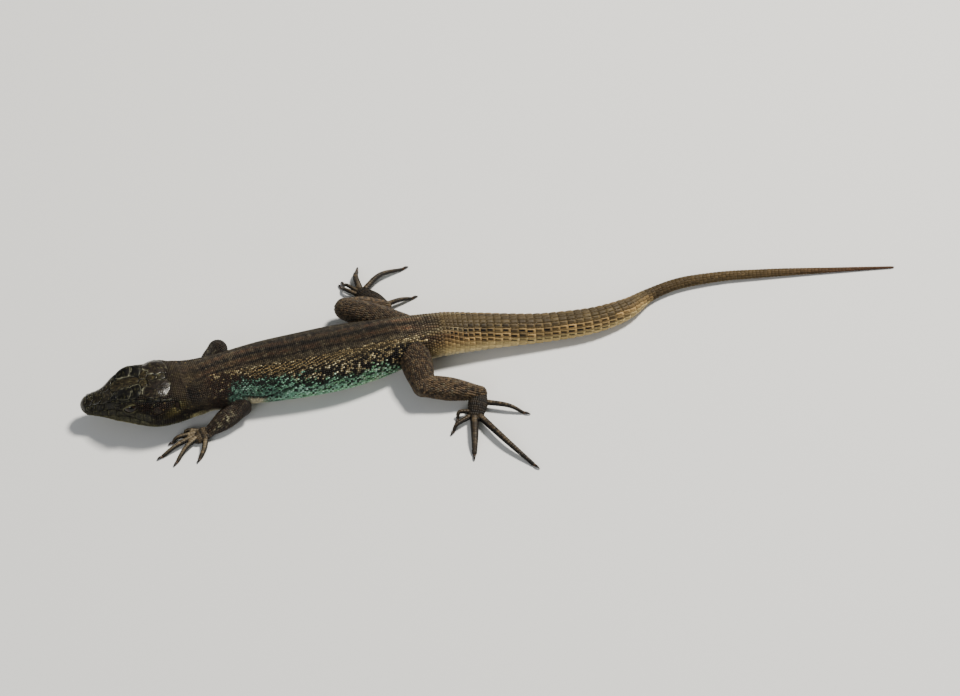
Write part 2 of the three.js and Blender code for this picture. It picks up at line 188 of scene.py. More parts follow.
def spine_frame(s):
    """Origin, and the directions to the tail and to the animal's left."""
    back = spine_at(s + 0.2) - spine_at(s - 0.2)
    back[:, 2] = 0
    back = unit(back)
    return spine_at(s), back, np.cross(back, UP)


def section_at(s):
    """Eight points round each section, from the top by the left: how far to the left, and up."""
    v = through(SECTION_KNOTS, SECTION_VALUES, s)
    top, bw, bz, ww, wz, jw, jz, bottom = v.T
    zero = np.zeros_like(top)
    w = np.stack([zero, bw, ww, jw, zero, -jw, -ww, -bw], 1)
    z = np.stack([top, bz, wz, jz, -bottom, jz, wz, bz], 1)
    return np.stack([w, z], 2)


def on_section(points, angle):
    """The place at each angle, on a smooth closed curve through a section's eight points."""
    turn = (np.asarray(angle, float) / (2 * math.pi) * 8) % 8
    i = np.floor(turn).astype(int) % 8
    t = (turn - np.floor(turn))[:, None]
    row = np.arange(len(points))
    p = [points[row, (i + k) % 8] for k in (-1, 0, 1, 2)]
    a, b = p[1], p[2]
    start, end = (p[2] - p[0]) * ROUND, (p[3] - p[1]) * ROUND
    return a + t * (start + t * (3 * (b - a) - 2 * start - end + t * (2 * (a - b) + start + end)))


# ---------------------------------------------------------------- surfaces
# A surface places (u, q, lift): u runs along it, q round it from its top line, positive on the
# animal's left, and lift stands out from it. All three are in millimetres.

# The fold behind the arm: distance from the snout tip, and its angle from the top.
SIDE_FOLD = [(29, 70), (32, 82), (34.8, 90), (38, 85), (40, 77), (42.5, 67), (46, 58)]
RELIEF_END = 22
FOLDS_END = 46


def from_top(angle):
    """How far round from the top line an angle is, on either side, in degrees."""
    return np.abs((np.degrees(angle) + 180) % 360 - 180)


def head_relief(s, angle):
    """What the bones and muscles of the head add to the smooth loft."""
    a = from_top(angle)
    over_eye = 0.24 * bump(s, 9.1, 1.5) * bump(a, 34, 15) + 0.14 * bump(s, 11.7, 0.8) * bump(a, 30, 10)
    between = -0.16 * bump(s, 9.6, 3.0) * bump(a, 3, 7) - 0.24 * bump(s, 12.9, 0.7) * bump(a, 44, 14)
    lore = -0.3 * bump(s, 5.6, 1.9) * bump(a, 68, 15)
    temple = 0.16 * bump(s, 15.4, 2.0) * bump(a, 84, 18)
    ear = -0.75 * bump(s, 18.3, 0.75) ** 2 * bump(a, 62, 11) ** 2
    before_eye = -0.25 * bump(s, 7.9, 0.8) * bump(a, 68, 12)
    return over_eye + between + lore + temple + ear + before_eye


def body_fold(s, angle):
    """Folds of loose skin along the neck, at the throat and behind the arm."""
    a = from_top(angle)
    wrinkle = 0.09 * np.sin(s * 2.1 + a * 0.09) * bump(s, 25, 3.5) * smooth(50, 70, a)
    groove = -0.28 * bump(a, 101 + 1.2 * (s - 21), 7) * smooth(19, 22, s) * smooth(29.5, 26.5, s)
    collar = -0.3 * bump(s, 25.2, 0.45) * smooth(110, 135, a)
    side = -0.36 * bump(a, knots(SIDE_FOLD, s), 3.5) * smooth(29.5, 32, s) * smooth(46, 42, s)
    return wrinkle + groove + collar + side


def body_at(s, angle, lift):
    s = np.asarray(s, float)
    at, _, left = spine_frame(s)
    wz = on_section(section_at(s), angle)
    size = np.maximum(np.linalg.norm(wz, axis=1), 1e-6)
    open_ = opened(s + BLUNT, NOSE_ROUNDING) * opened(LENGTH - s + BLUNT, TAIL_ROUNDING)
    relief = np.where(s < RELIEF_END, head_relief(s, angle), 0)
    relief = relief + np.where(s < FOLDS_END, body_fold(s, angle), 0)
    k = (open_ + (lift + relief) / size)[:, None]
    return at + left * wz[:, :1] * k + UP * wz[:, 1:] * k


class Body:
    """The whole body, with the arc length round each section kept in tables."""

    step = 0.5  # between the sections in the tables
    turns = 90  # steps of the angle from the top line to the bottom one
    shares = 64  # steps of the share of the way round

    def __init__(self):
        self.s = np.arange(0, LENGTH + self.step, self.step)
        self.span = (0.0, LENGTH)
        angle = np.linspace(0, math.pi, self.turns + 1)
        share = np.linspace(0, 1, self.shares + 1)
        arcs = []
        for s in self.s:
            wz = on_section(section_at(np.full(len(angle), s)), np.minimum(angle, math.pi - 1e-6))
            arcs.append(lengths_along(wz * opened(s + BLUNT, NOSE_ROUNDING)))
        self.arcs = np.array(arcs)
        self.halves = np.array([arc[-1] for arc in arcs])
        self.angles = np.array([np.interp(share * arc[-1], arc, angle) for arc in arcs])

    def look_up(self, table, s, column):
        """The value of a table between its rows and columns."""
        row = np.clip(np.asarray(s, float) / self.step, 0, len(self.s) - 1.001)
        i, j = row.astype(int), column.astype(int)
        di, dj = row - i, column - j
        low = table[i, j] * (1 - di) + table[i + 1, j] * di
        high = table[i, j + 1] * (1 - di) + table[i + 1, j + 1] * di
        return low * (1 - dj) + high * dj

    def half(self, s):
        """Half the girth."""
        return np.interp(s, self.s, self.halves)

    def angle(self, s, q):
        share = np.abs(q) / self.half(s)
        over = share > 1
        share = np.where(over, 2 - share, share)
        a = self.look_up(self.angles, s, np.clip(share * self.shares, 0, self.shares - 0.001))
        return np.where(over, 2 * math.pi - a, a) * np.where(np.asarray(q) < 0, -1, 1)

    def arc(self, s, degrees):
        """The q at an angle on the left side."""
        column = np.asarray(degrees, float) / (180 / self.turns)
        return self.look_up(self.arcs, s, np.clip(column, 0, self.turns - 0.001))

    def place(self, u, q, lift):
        u = np.clip(u, 0, LENGTH - 0.01)
        return body_at(u, self.angle(u, q), lift)


class Bone:
    """A tapering limb piece with round ends, along a straight axis."""

    def __init__(self, start, end, girths, flat=1.0):
        self.start = np.array(start, float)
        axis = np.array(end, float) - self.start
        self.length = float(np.linalg.norm(axis))
        self.axis = axis / self.length
        self.left = unit(np.cross(self.axis, UP))
        self.up = np.cross(self.left, self.axis)
        self.girths, self.flat = girths, flat
        self.knots = np.linspace(0, self.length, len(girths))
        self.span = (-girths[0], self.length + girths[-1])

    def radius(self, u):
        first, last = self.girths[0], self.girths[-1]
        ends = opened(u + first + BLUNT, first) * opened(self.length + last - u + BLUNT, last)
        return through(self.knots, self.girths, np.clip(u, 0, self.length)) * ends

    def half(self, u):
        return math.pi * self.radius(np.atleast_1d(u)) * (1 + self.flat) / 2

    def place(self, u, q, lift):
        r = self.radius(u)
        a = math.pi * q / np.maximum(self.half(u), 0.05)
        r = (r + lift)[:, None]
        out = self.left * np.sin(a)[:, None] + self.up * self.flat * np.cos(a)[:, None]
        return self.start + self.axis * np.asarray(u)[:, None] + out * r


class Tube:
    """A digit or claw, along a centripetal curve through its points and round at the far end."""

    def __init__(self, points, radii):
        p = np.array(points, float)
        p = np.concatenate([[2 * p[0] - p[1]], p, [2 * p[-1] - p[-2]]])
        t = np.linspace(0, 1, 40)[:, None]
        route = []
        for k in range(1, len(p) - 2):
            x0, x1, x2, x3 = p[k - 1 : k + 3]
            steps = ((x0, x1), (x1, x2), (x2, x3))
            d0, d1, d2 = (max(np.linalg.norm(b - a) ** 0.5, 1e-6) for a, b in steps)
            m1 = ((x1 - x0) / d0 - (x2 - x0) / (d0 + d1) + (x2 - x1) / d1) * d1
            m2 = ((x2 - x1) / d1 - (x3 - x1) / (d1 + d2) + (x3 - x2) / d2) * d1
            square, cube = 3 * (x2 - x1) - 2 * m1 - m2, 2 * (x1 - x2) + m1 + m2
            route.append(x1 + m1 * t + square * t**2 + cube * t**3)
        self.route = np.concatenate([r[:-1] for r in route] + [p[-2:-1]])
        self.at = lengths_along(self.route)
        self.length = float(self.at[-1])
        self.radii = radii
        self.knots = np.linspace(0, self.length, len(radii))
        self.span = (0.0, self.length)

    def centre(self, u):
        u = np.clip(u, 0, self.length)
        return np.stack([np.interp(u, self.at, self.route[:, k]) for k in range(3)], 1)

    def radius(self, u):
        return through(self.knots, self.radii, u) * opened(self.length - u + BLUNT, self.radii[-1])

    def half(self, u):
        return math.pi * self.radius(np.atleast_1d(u))

    def place(self, u, q, lift):
        u = np.clip(u, 0, self.length - 0.001)
        axis = unit(self.centre(u + 0.05) - self.centre(u - 0.05))
        left = unit(np.cross(axis, UP))
        up = np.cross(left, axis)
        r = self.radius(u)
        a = (math.pi * q / np.maximum(self.half(u), 0.03))[:, None]
        return self.centre(u) + (left * np.sin(a) + up * np.cos(a)) * (r + lift)[:, None]


body = Body()

# ---------------------------------------------------------------- legs, as in the solids

FORE = dict(upper=[2.2, 2.1, 2.0], lower=[1.9, 2.0, 1.15], paw=[1.15, 1.65, 1.5], flat=0.6,
            digit=[0.58, 0.5, 0.38], claw=1.1)
HIND = dict(upper=[3.1, 3.1, 2.3], lower=[2.2, 2.3, 1.4], paw=[1.4, 2.0, 1.6], flat=0.65,
            digit=[0.82, 0.68, 0.45], claw=1.3)
LEGS = {
    "left_fore": (FORE, [[-55.0, -10.9, 4.3], [-50.3, -13.3, 3.3], [-56.2, -17.9, 1.5],
                         [-58.4, -18.9, 0.85]], [
        [[-58.4, -17.6, 1.1], [-60.8, -17.6, 1.2], [-61.7, -18.4, 0.1], 0.95],
        [[-59.0, -18.1, 1.1], [-62.6, -19.3, 1.1], [-64.3, -20.4, 0.1], 1],
        [[-59.2, -18.7, 1.1], [-62.8, -21.3, 1.0], [-66.2, -24.0, 0.1], 1],
        [[-58.8, -19.2, 1.1], [-60.8, -21.8, 1.0], [-62.8, -25.6, 0.1], 1],
        [[-57.0, -19.2, 1.1], [-57.1, -21.8, 1.0], [-58.3, -24.8, 0.1], 1.1]]),
    "right_fore": (FORE, [[-57.4, -5.6, 4.4], [-55.6, -0.2, 5.0], [-58.6, -3.6, 1.5], [-61.2, -4.6, 0.85]], [
        [[-60.4, -5.2, 1.1], [-62.6, -6.9, 1.2], [-63.8, -7.9, 0.1], 0.95],
        [[-61.2, -5.1, 1.1], [-64.6, -6.9, 1.1], [-66.8, -7.9, 0.1], 1],
        [[-61.6, -4.7, 1.1], [-65.8, -5.9, 1.1], [-69.3, -6.8, 0.1], 1],
        [[-61.4, -4.1, 1.1], [-65.5, -4.4, 1.1], [-69.0, -4.8, 0.1], 1],
        [[-60.4, -3.5, 1.1], [-63.2, -2.8, 1.0], [-65.4, -2.3, 0.1], 1.1]]),
    "left_hind": (HIND, [[-17.0, -0.2, 4.7], [-14.9, -8.6, 4.0], [-3.8, -8.9, 2.2], [-4.6, -13.3, 0.9]], [
        [[-5.9, -12.8, 1.2], [-7.9, -13.1, 1.3], [-8.5, -15.1, 0.1], 0.65],
        [[-5.8, -14.0, 1.2], [-8.5, -16.3, 1.2], [-9.5, -18.0, 0.1], 0.68],
        [[-4.9, -14.2, 1.2], [-4.8, -19.5, 1.3], [-4.9, -24.2, 0.1], 1.1],
        [[-3.9, -14.0, 1.3], [1.3, -20.2, 1.5], [7.7, -26.2, 0.1], 0.9],
        [[-3.2, -10.6, 1.5], [2.0, -11.5, 1.4], [6.1, -12.7, 0.1], 0.75]]),
    "right_hind": (HIND, [[-19.4, 5.6, 4.7], [-30.8, 11.3, 4.0], [-23.0, 13.3, 2.2], [-27.9, 18.2, 0.9]], [
        [[-28.8, 17.6, 1.2], [-31.3, 19.0, 1.2], [-32.7, 21.1, 0.1], 0.62],
        [[-28.5, 18.4, 1.2], [-30.9, 20.1, 1.2], [-32.2, 21.9, 0.1], 0.62],
        [[-28.2, 18.9, 1.15], [-29.2, 22.4, 1.3], [-28.9, 25.9, 0.1], 0.9],
        [[-27.2, 18.9, 1.3], [-24.2, 22.7, 1.4], [-18.5, 26.0, 0.1], 0.8],
        [[-22.8, 14.6, 1.5], [-19.9, 16.1, 1.3], [-16.4, 18.0, 0.1], 0.75]]),
}
CLAW_RADII = [0.3, 0.27, 0.19, 0.07]
CLAW_ROOT = 0.15  # how far its root lies in the digit
CLAW_ARCH = 0.22  # how far it rises between its root and its tip
CLAW_TIP = 0.14  # its tip's height


def digit_and_claw(kind, digit):
    """The tube of a digit and that of its claw, which takes up the end of the digit's reach."""
    base, knuckle, tip, thickness = digit
    radii = [r * thickness for r in kind["digit"]]
    to = np.array(tip, float)
    reach = (to - knuckle) * [1, 1, 0]
    claw = min(kind["claw"], float(np.linalg.norm(reach)) / 2)
    reach = unit(reach)
    end = to - reach * claw
    end[2] = radii[-1] * 0.5
    arch = (end + to) / 2
    arch[2] = end[2] + CLAW_ARCH
    to[2] = CLAW_TIP
    return Tube([base, knuckle, end], radii), Tube([end - reach * CLAW_ROOT, arch, to], CLAW_RADII)


limbs = {}
for leg, (kind, (hip, knee, ankle, knuckles), digits) in LEGS.items():
    pairs = [digit_and_claw(kind, d) for d in digits]
    limbs[leg] = dict(
        kind=kind,
        upper=Bone(hip, knee, kind["upper"]),
        lower=Bone(knee, ankle, kind["lower"]),
        paw=Bone(ankle, knuckles, kind["paw"], kind["flat"]),
        digits=[d for d, _ in pairs],
        claws=[c for _, c in pairs],
    )

# ---------------------------------------------------------------- the skin

VOXEL = 0.2
LOWEST_SKIN = 0.03


def closed_tube(surface, us, around, lift):
    """A closed mesh of the surface: rings of points along it and a flat cap at each end."""
    u, share = grid(us, np.linspace(-1, 1, around, endpoint=False))
    co = surface.place(u, share * surface.half(u) * 0.9999, np.full(len(u), lift))
    first, last = end_rings(len(us), around)
    return co, ring_quads(len(us), around), [first[::-1], last]


def eased_span(surface, count):
    """Places along a surface, closer together towards both ends."""
    t = (1 - np.cos(np.linspace(0, math.pi, count))) / 2
    return surface.span[0] + 0.01 + (surface.span[1] - surface.span[0] - 0.02) * t


def add_object(name, data):
    made = bpy.data.objects.new(name, data)
    bpy.context.scene.collection.objects.link(made)
    return made


def skin_mesh():
    """The skin of all the flesh, as one voxel mesh round closed tubes that lie inside the solids."""
    along = np.concatenate([[0.01, 0.06, 0.15, 0.3], np.arange(0.5, 30, 0.25), np.arange(30, LENGTH, 0.5),
                            [LENGTH - 0.05]])
    parts = [closed_tube(body, along, 120, -COAT)]
    for limb in limbs.values():
        for part, rings, around, coat in (
            ("upper", 60, 48, COAT), ("lower", 60, 40, COAT), ("paw", 40, 32, PAW_COAT),
        ):
            parts.append(closed_tube(limb[part], eased_span(limb[part], rings), around, -coat))
        parts += [closed_tube(digit, eased_span(digit, 50), 20, -DIGIT_COAT) for digit in limb["digits"]]
    co, faces = [], []
    for points, quads, caps in parts:
        start = sum(map(len, co))
        co.append(points)
        faces += (quads + start).tolist()
        faces += [[v + start for v in cap] for cap in caps]
    mesh = bpy.data.meshes.new("skin_parts")
    mesh.from_pydata(np.concatenate(co).tolist(), [], faces)
    mesh.update()
    holder = add_object("skin_parts", mesh)
    remesh = holder.modifiers.new("one skin", "REMESH")
    remesh.mode = "VOXEL"
    remesh.voxel_size = VOXEL
    remesh.use_smooth_shade = True
    graph = bpy.context.evaluated_depsgraph_get()
    skin = bpy.data.meshes.new_from_object(holder.evaluated_get(graph))
    bpy.data.objects.remove(holder)
    bpy.data.meshes.remove(mesh)
    return skin


def read(items, field, width=3, kind=float):
    """A field of a mesh's points or edges, as an array with a row for each."""
    values = np.empty(len(items) * width, kind)
    items.foreach_get(field, values)
    return values.reshape(-1, width)


def relax(co, edges, strength, rounds):
    """Smooths points along the mesh's edges, and undoes most of the shrinking."""
    count = np.bincount(edges.ravel(), minlength=len(co)).clip(1)[:, None]
    for step in range(rounds):
        total = np.zeros_like(co)
        for axis in range(3):
            total[:, axis] = np.bincount(edges[:, 0], co[edges[:, 1], axis], len(co))
            total[:, axis] += np.bincount(edges[:, 1], co[edges[:, 0], axis], len(co))
        pull = strength if step % 2 == 0 else -strength * 0.95
        co = co + (total / count - co) * pull
    return co


skin_data = skin_mesh()
skin_co = relax(read(skin_data.vertices, "co"), read(skin_data.edges, "vertices", 2, np.int64), 0.5, 8)
skin_co[:, 2] = np.maximum(skin_co[:, 2], LOWEST_SKIN)
skin_data.vertices.foreach_set("co", skin_co.ravel())
skin_data.update()
skin_normals = read(skin_data.vertices, "normal")
skin = add_object("skin", skin_data)
bpy.context.view_layer.update()
skin_tree = BVHTree.FromObject(skin, bpy.context.evaluated_depsgraph_get())

# ---------------------------------------------------------------- places on the head

EYE = dict(s=10.2, angle=math.radians(66), depth=1.45, radius=1.75)
EAR = dict(s=18.3, angle=math.radians(62), depth=0.62)
EARDRUM = [0.5, 0.83, 0.2]  # its half sizes along the body, round it and outwards


def inside_head(spot, sign):
    """The centre of a thing set into the head, on one side."""
    wz = on_section(section_at([spot["s"]]), [spot["angle"] * sign])[0]
    kept = 1 - spot["depth"] / np.linalg.norm(wz)
    at, _, left = spine_frame(np.array([spot["s"]]))
    return at[0] + left[0] * wz[0] * kept + UP * wz[1] * kept


EYES = {side: inside_head(EYE, sign) for side, sign in SIDES.items()}
EARS = {side: inside_head(EAR, sign) for side, sign in SIDES.items()}


def ear_axes(sign):
    """The directions along the body, round it and outwards, at an ear."""
    outward = unit(inside_head(dict(EAR, depth=0), sign) - inside_head(EAR, sign))
    back = spine_frame(np.array([EAR["s"]]))[1][0]
    along = unit(back - outward * (back @ outward))
    return np.stack([along, np.cross(outward, along), outward])


EAR_AXES = {side: ear_axes(sign) for side, sign in SIDES.items()}


def in_ear(points, side, along, around):
    """Which points lie within an oval round an ear, of the given half sizes."""
    local = (points - EARS[side]) @ EAR_AXES[side].T
    return np.linalg.norm(local / [along, around, 1.6], axis=1) < 1


# The mouth's line, by distance from the snout tip, as a height over the spine.
MOUTH = [(0, -0.45), (3, -0.57), (8, -0.48), (12, -0.8), (13.8, -1.05), (25, -1.5)]


def mouth_angle(s):
    """The angle of the mouth's line, in degrees from the top."""
    s = np.atleast_1d(np.asarray(s, float))
    z = np.interp(s, *zip(*MOUTH))
    low, high = np.full(len(s), 75.0), np.full(len(s), 150.0)
    for _ in range(12):
        guess = (low + high) / 2
        height = on_section(section_at(np.clip(s, 0, 25)), np.radians(guess))[:, 1]
        above = height > z
        low, high = np.where(above, guess, low), np.where(above, high, guess)
    return (low + high) / 2

# ---------------------------------------------------------------- colours and markings


def tone(red, green, blue):
    """A colour given in display values from 0 to 255, as a linear one."""
    c = np.array([red, green, blue], float) / 255
    return np.where(c <= 0.04045, c / 12.92, ((c + 0.055) / 1.055) ** 2.4)


BROWN = tone(42, 34, 26)
DARK = tone(17, 13, 10)
BLACK = tone(6, 5, 5)
RUST = tone(58, 37, 24)
OLIVE = tone(55, 48, 33)
GREY_OLIVE = tone(56, 51, 39)
GOLD = tone(132, 112, 74)
CREAM = tone(200, 192, 156)
TURQUOISE = tone(96, 138, 117)
GREEN = tone(98, 138, 104)
TAIL_GOLD = tone(150, 122, 78)
TAIL_OLIVE = tone(84, 71, 45)
TAIL_GREY = tone(66, 56, 40)
NEW_TAIL = tone(62, 50, 31)
TAIL_TIP = tone(76, 54, 38)
TAIL_UNDER = tone(192, 168, 114)
SEA_PALE = tone(172, 206, 186)
BELLY = tone(198, 190, 160)
JAW_OLIVE = tone(84, 76, 38)
GULAR = tone(150, 142, 100)
HEAD_DARK = tone(19, 15, 10)
HEAD_OLIVE = tone(44, 37, 20)
HEAD_PURPLE = tone(30, 21, 19)
LABIAL = tone(84, 82, 56)
LEG_BROWN = tone(52, 40, 29)
LEG_OLIVE = tone(72, 58, 40)
TOE_OCHRE = tone(84, 75, 58)


def waves(u, q, seed, size):
    """Smooth noise from -1 to 1, over places in millimetres."""
    local = np.random.default_rng(seed)
    total = 0
    for k in range(5):
        turn, phase = local.uniform(0, 2 * math.pi, 2)
        pitch = size * (0.75**k)
        total = total + np.sin((u * math.cos(turn) + q * math.sin(turn)) * 2 * math.pi / pitch + phase)
    return np.clip(total / 2.6, -1, 1)


def mix(a, b, t):
    t = np.asarray(t, float)[..., None]
    return a * (1 - t) + b * t


def middle(s):
    """Where the line of the back runs, off the top line: the animal leans a little to its left."""
    return -0.4 * smooth(4, 7, s) - 1.2 * smooth(21, 31, s) + 1.6 * smooth(60, 71, s)


def lean(s, q):
    """How far the back's middle line shifts what lies at q: all of it on top, and none below."""
    return middle(s) * smooth(1, 0.35, np.abs(q) / body.half(s))


# Where the flank's markings and the turquoise start: distance from the snout tip, then from the
# back's middle line.
FLANK = [(20, 2.6), (24, 2.2), (27, 2.5), (29.5, 3.0), (35.5, 3.8), (43.5, 4.0), (51, 3.9), (59, 3.9),
         (65, 3.5), (69, 2.9), (72, 2.3), (78, 2.2)]
BLUE_TOP = [(26.8, 8.8), (28, 7.0), (29.5, 5.7), (31, 5.3), (35, 6.3), (38.5, 7.2), (40.5, 7.6), (43.5, 8.8),
            (48, 9.3), (52.8, 9.5), (57, 8.5), (60.2, 8.7), (62.5, 10.2)]

# How dark the dashes are on the tail's scales, by their place from the top line.
DASHES = np.array([0.15, 0.6, 1.0, 1.0, 0.85, 0.25] + [0.0] * 20)


def jaw_patch(s, a):
    """Where the yellowish patch between the corner of the mouth and the ear lies."""
    along = a - knots([(16, 8.9), (17, 8.3), (18, 7.6), (19.2, 6.6), (20.5, 6.2)], s)
    return bump(along, 0.2, 1.0) * bump(s, 18.1, 1.6)


def body_marking(s, q, stripe=0.5, column=None):
    """Colour of the scale at (s, q), the colour of its root, and how much of the root shows.

    stripe is 1 on every second slanting row of scales; column counts a tail scale from the top.
    """
    a = np.abs(q)
    half = body.half(s)
    m = np.abs(q - lean(s, q))
    rand, rand2, rand3 = rng.random((3, len(s)))
    wide = waves(s, q, 3, 9.0)
    long = waves(s * 0.3, q, 5, 2.6)
    fine = waves(s, q, 4, 1.6)

    # the back: a dark line along the middle, broken rust beside it, a thin dark line, and grey olive
    c = mix(BROWN, OLIVE, 0.45 + 0.3 * wide + 0.2 * fine)
    c = mix(c, GREY_OLIVE, np.clip(bump(m, 3.2, 0.8) * 0.5 + 0.35 * long, 0, 0.8))
    c = mix(c, RUST, np.clip(bump(m, 1.3, 0.6) * (0.5 + 0.5 * long), 0, 1) * 0.7)
    c = mix(c, BLACK, np.clip(bump(m, 0, 0.55) * (1.0 + 0.4 * fine), 0, 0.93))
    c = mix(c, DARK, np.clip(bump(m, 2.3 + 0.2 * wide, 0.36) * (0.9 + 0.3 * fine), 0, 0.9))
    c = mix(c, DARK, smooth(-3.2, -4.6, q) * 0.45 * smooth(22, 26, s) * smooth(70, 64, s))
    c = mix(c, BLACK, smooth(0.8, 1, rand) * 0.4 + smooth(0.3, 0.8, fine) * 0.3)
    streak = waves(s * 0.3, q, 25, 1.2)
    c = mix(c, BLACK, smooth(0.1, 0.7, streak) * 0.45)
    c = mix(c * 1.15, GREY_OLIVE * 1.7, smooth(0.3, 0.9, -streak) * smooth(0.4, 0.9, rand2) * 0.6)
    show = 0.35

    # the flank: single gold and cream scales among black ones, in slanting rows behind the arm
    over = m - knots(FLANK, s) - 1.6 * (q < 0)
    flank = smooth(-0.3, 0.3, over + 0.4 * waves(s, q, 14, 3.0)) * smooth(22, 26, s)
    # the pale scales are partly the animal's flecks and partly painted glints, thickest along the flank's
    # upper edge at the shoulder
    share = knots([(22, 0.03), (27, 0.05), (31, 0.14), (42, 0.33), (60, 0.38), (66, 0.3), (72, 0.15)], s)
    share = share + 0.25 * bump(over, 0.4, 0.5) * smooth(40, 34, s)
    pale = smooth(-0.07, 0.07, rand - 1 + share + 0.12 * waves(s, q, 15, 1.5))
    night = mix(mix(DARK, BLACK, rand2), mix(RUST, BROWN, rand2) * 0.65, smooth(36, 27, s) * 0.85)
    fleck_and_glint = mix(GOLD, CREAM, rand3 * (0.75 - 0.5 * smooth(50, 62, s) - 0.4 * smooth(36, 31, s)))
    fleck_and_glint = fleck_and_glint * ((0.35 + 0.8 * rand2**1.5) * (1 - 0.25 * smooth(34, 29, s)))[:, None]
    speck = mix(night, fleck_and_glint, pale)
    slant = bump(over, 1.0, 1.2) * smooth(31, 35, s) * smooth(58, 50, s)
    speck = mix(speck, mix(DARK, mix(GOLD, BROWN, 0.6 * rand2), stripe), slant * 0.8)
    band = bump(over, 0.7, 0.6) * smooth(46, 52, s) * smooth(68, 62, s)
    speck = mix(speck, mix(OLIVE, GOLD, 0.2 + 0.5 * pale), band * 0.7)
    c = mix(c, speck, flank)
    show = show * (1 - flank) + (0.5 + 0.45 * pale) * flank

    # turquoise along the lower flank, from the arm to the groin
    top = knots(BLUE_TOP, s) + 0.5 * waves(s, q * 0.3, 8, 5.0)
    blue = smooth(-0.35, 0.35, m - top + 1.4 * (rand - 0.5)) * smooth(27.2, 28.4, s) * smooth(63.5, 61.5, s)
    blue = np.maximum(blue, 0.8 * (rand3 > 0.6) * bump(s, 42, 3) * smooth(6.2, 6.8, m))
    sea = mix(TURQUOISE, GREEN, smooth(0.1, 0.9, 0.3 * waves(s, q, 12, 5.0) + (s - 28) / 34))
    sea = sea * (0.44 + 0.84 * smooth(32, 46, s) + 0.25 * waves(s, q, 22, 2.2))[:, None]
    sea = mix(sea, SEA_PALE, smooth(0.6, 1, rand2) * (0.3 + 0.5 * smooth(36, 46, s)))
    sea = mix(sea, mix(SEA_PALE, CREAM, 0.6) * 0.9, smooth(0.8, 0.9, rand) * smooth(50, 58, s) * 0.7)
    depth = smooth(3.6, 0.2, m - top)
    spots = 0.7 * rand3 - 0.73 + 0.14 * bump(s, 37, 3) + 0.45 * depth + 0.42 * waves(s, q, 21, 1.6)
    sea = mix(sea, BLACK, smooth(-0.05, 0.08, spots) * 0.95)
    c = mix(c, sea, blue)
    show = show * (1 - blue) + (0.28 + 0.3 * depth) * blue
    patch = bump(s, 33.3, 1.7) * smooth(0.1, 0.5, a - body.arc(s, knots(SIDE_FOLD, s)))
    c = mix(c, mix(BELLY, GOLD, 0.3) * 0.8, np.clip(patch * 1.3, 0, 1))

    # the painted shadow of the fold that runs back from the arm
    fold_shadow = bump(a, body.arc(s, knots(SIDE_FOLD, s)), 0.38) * smooth(30, 31.5, s) * smooth(47, 42, s)
    c = mix(c, BLACK, 0.95 * fold_shadow)

    # the belly is pale, with the turquoise running out over its edge
    edge = half * np.interp(s, [24, 30, 60, 70], [0.6, 0.66, 0.66, 0.62])
    under = smooth(-0.4, 0.8, a - edge) * smooth(19.5, 24, s) * smooth(75, 71, s)
    rest = bump(a - edge, 0, 1.6) * 0.7 * smooth(27, 30, s) * smooth(64, 61, s)
    c = mix(c, mix(BELLY, TURQUOISE, rest), under)
    show = show * (1 - under)

    # the neck: rust and dark granules, a dark line, and a cream throat
    neck = smooth(24.5, 20.5, s)
    hide = mix(HEAD_DARK, RUST, 0.3 + 0.45 * fine) * 0.21
    hide = mix(hide, mix(BROWN, OLIVE, 0.4 + 0.4 * wide) * 1.7, smooth(4.2, 1.8, m) * 0.9)
    hide = mix(hide, BLACK, smooth(0.0, 0.7, streak) * 0.5)
    # painted glints: a few gold granules on the sides of the neck
    hide = mix(hide, GOLD * 0.8, smooth(0.93, 0.97, rand) * 0.6 * smooth(1.5, 3, m))
    line = body.arc(s, 88)
    hide = mix(hide, OLIVE * 0.8, bump(a, line - 1.0, 1.1) * 0.5)
    hide = mix(hide, BLACK, bump(a, line + 0.1, 0.45) * 0.85)
    hide = mix(hide, mix(GULAR, OLIVE, 0.4 + 0.25 * fine), smooth(0.5, 1.3, a - line))
    hide = mix(hide, JAW_OLIVE, jaw_patch(s, a) * 0.7)
    c = mix(c, hide, neck)
    show = show * (1 - 0.6 * neck)

    # lighter behind the neck and over the hips, a little darker at the shoulder, with a gold line
    # from the hips to the tail
    lighter = 0.5 * smooth(22, 26, s) * smooth(38, 30, s) * smooth(4.2, 2.5, m)
    lighter = lighter + 0.3 * bump(m, 3.4, 0.9) * smooth(28, 32, s) * smooth(66, 62, s)
    lighter = lighter + 2.2 * smooth(60, 67, s) * smooth(5, 3.5, m)
    lighter = lighter - 0.3 * bump(s, 26.5, 3) * smooth(3, 4.5, m)
    c = c * (1 + lighter)[:, None]
    line = bump(a, knots([(62, 3.5), (67, 3.0), (72, 2.5), (80, 2.3)], s) + 0.12 * fine, 0.32)
    line = line * smooth(61, 65, s) * smooth(0.15, 0.4, rand) * (0.25 + 0.75 * (q > 0))
    c = mix(c, mix(GOLD, CREAM, 0.5 * rand2) * 0.8, line)

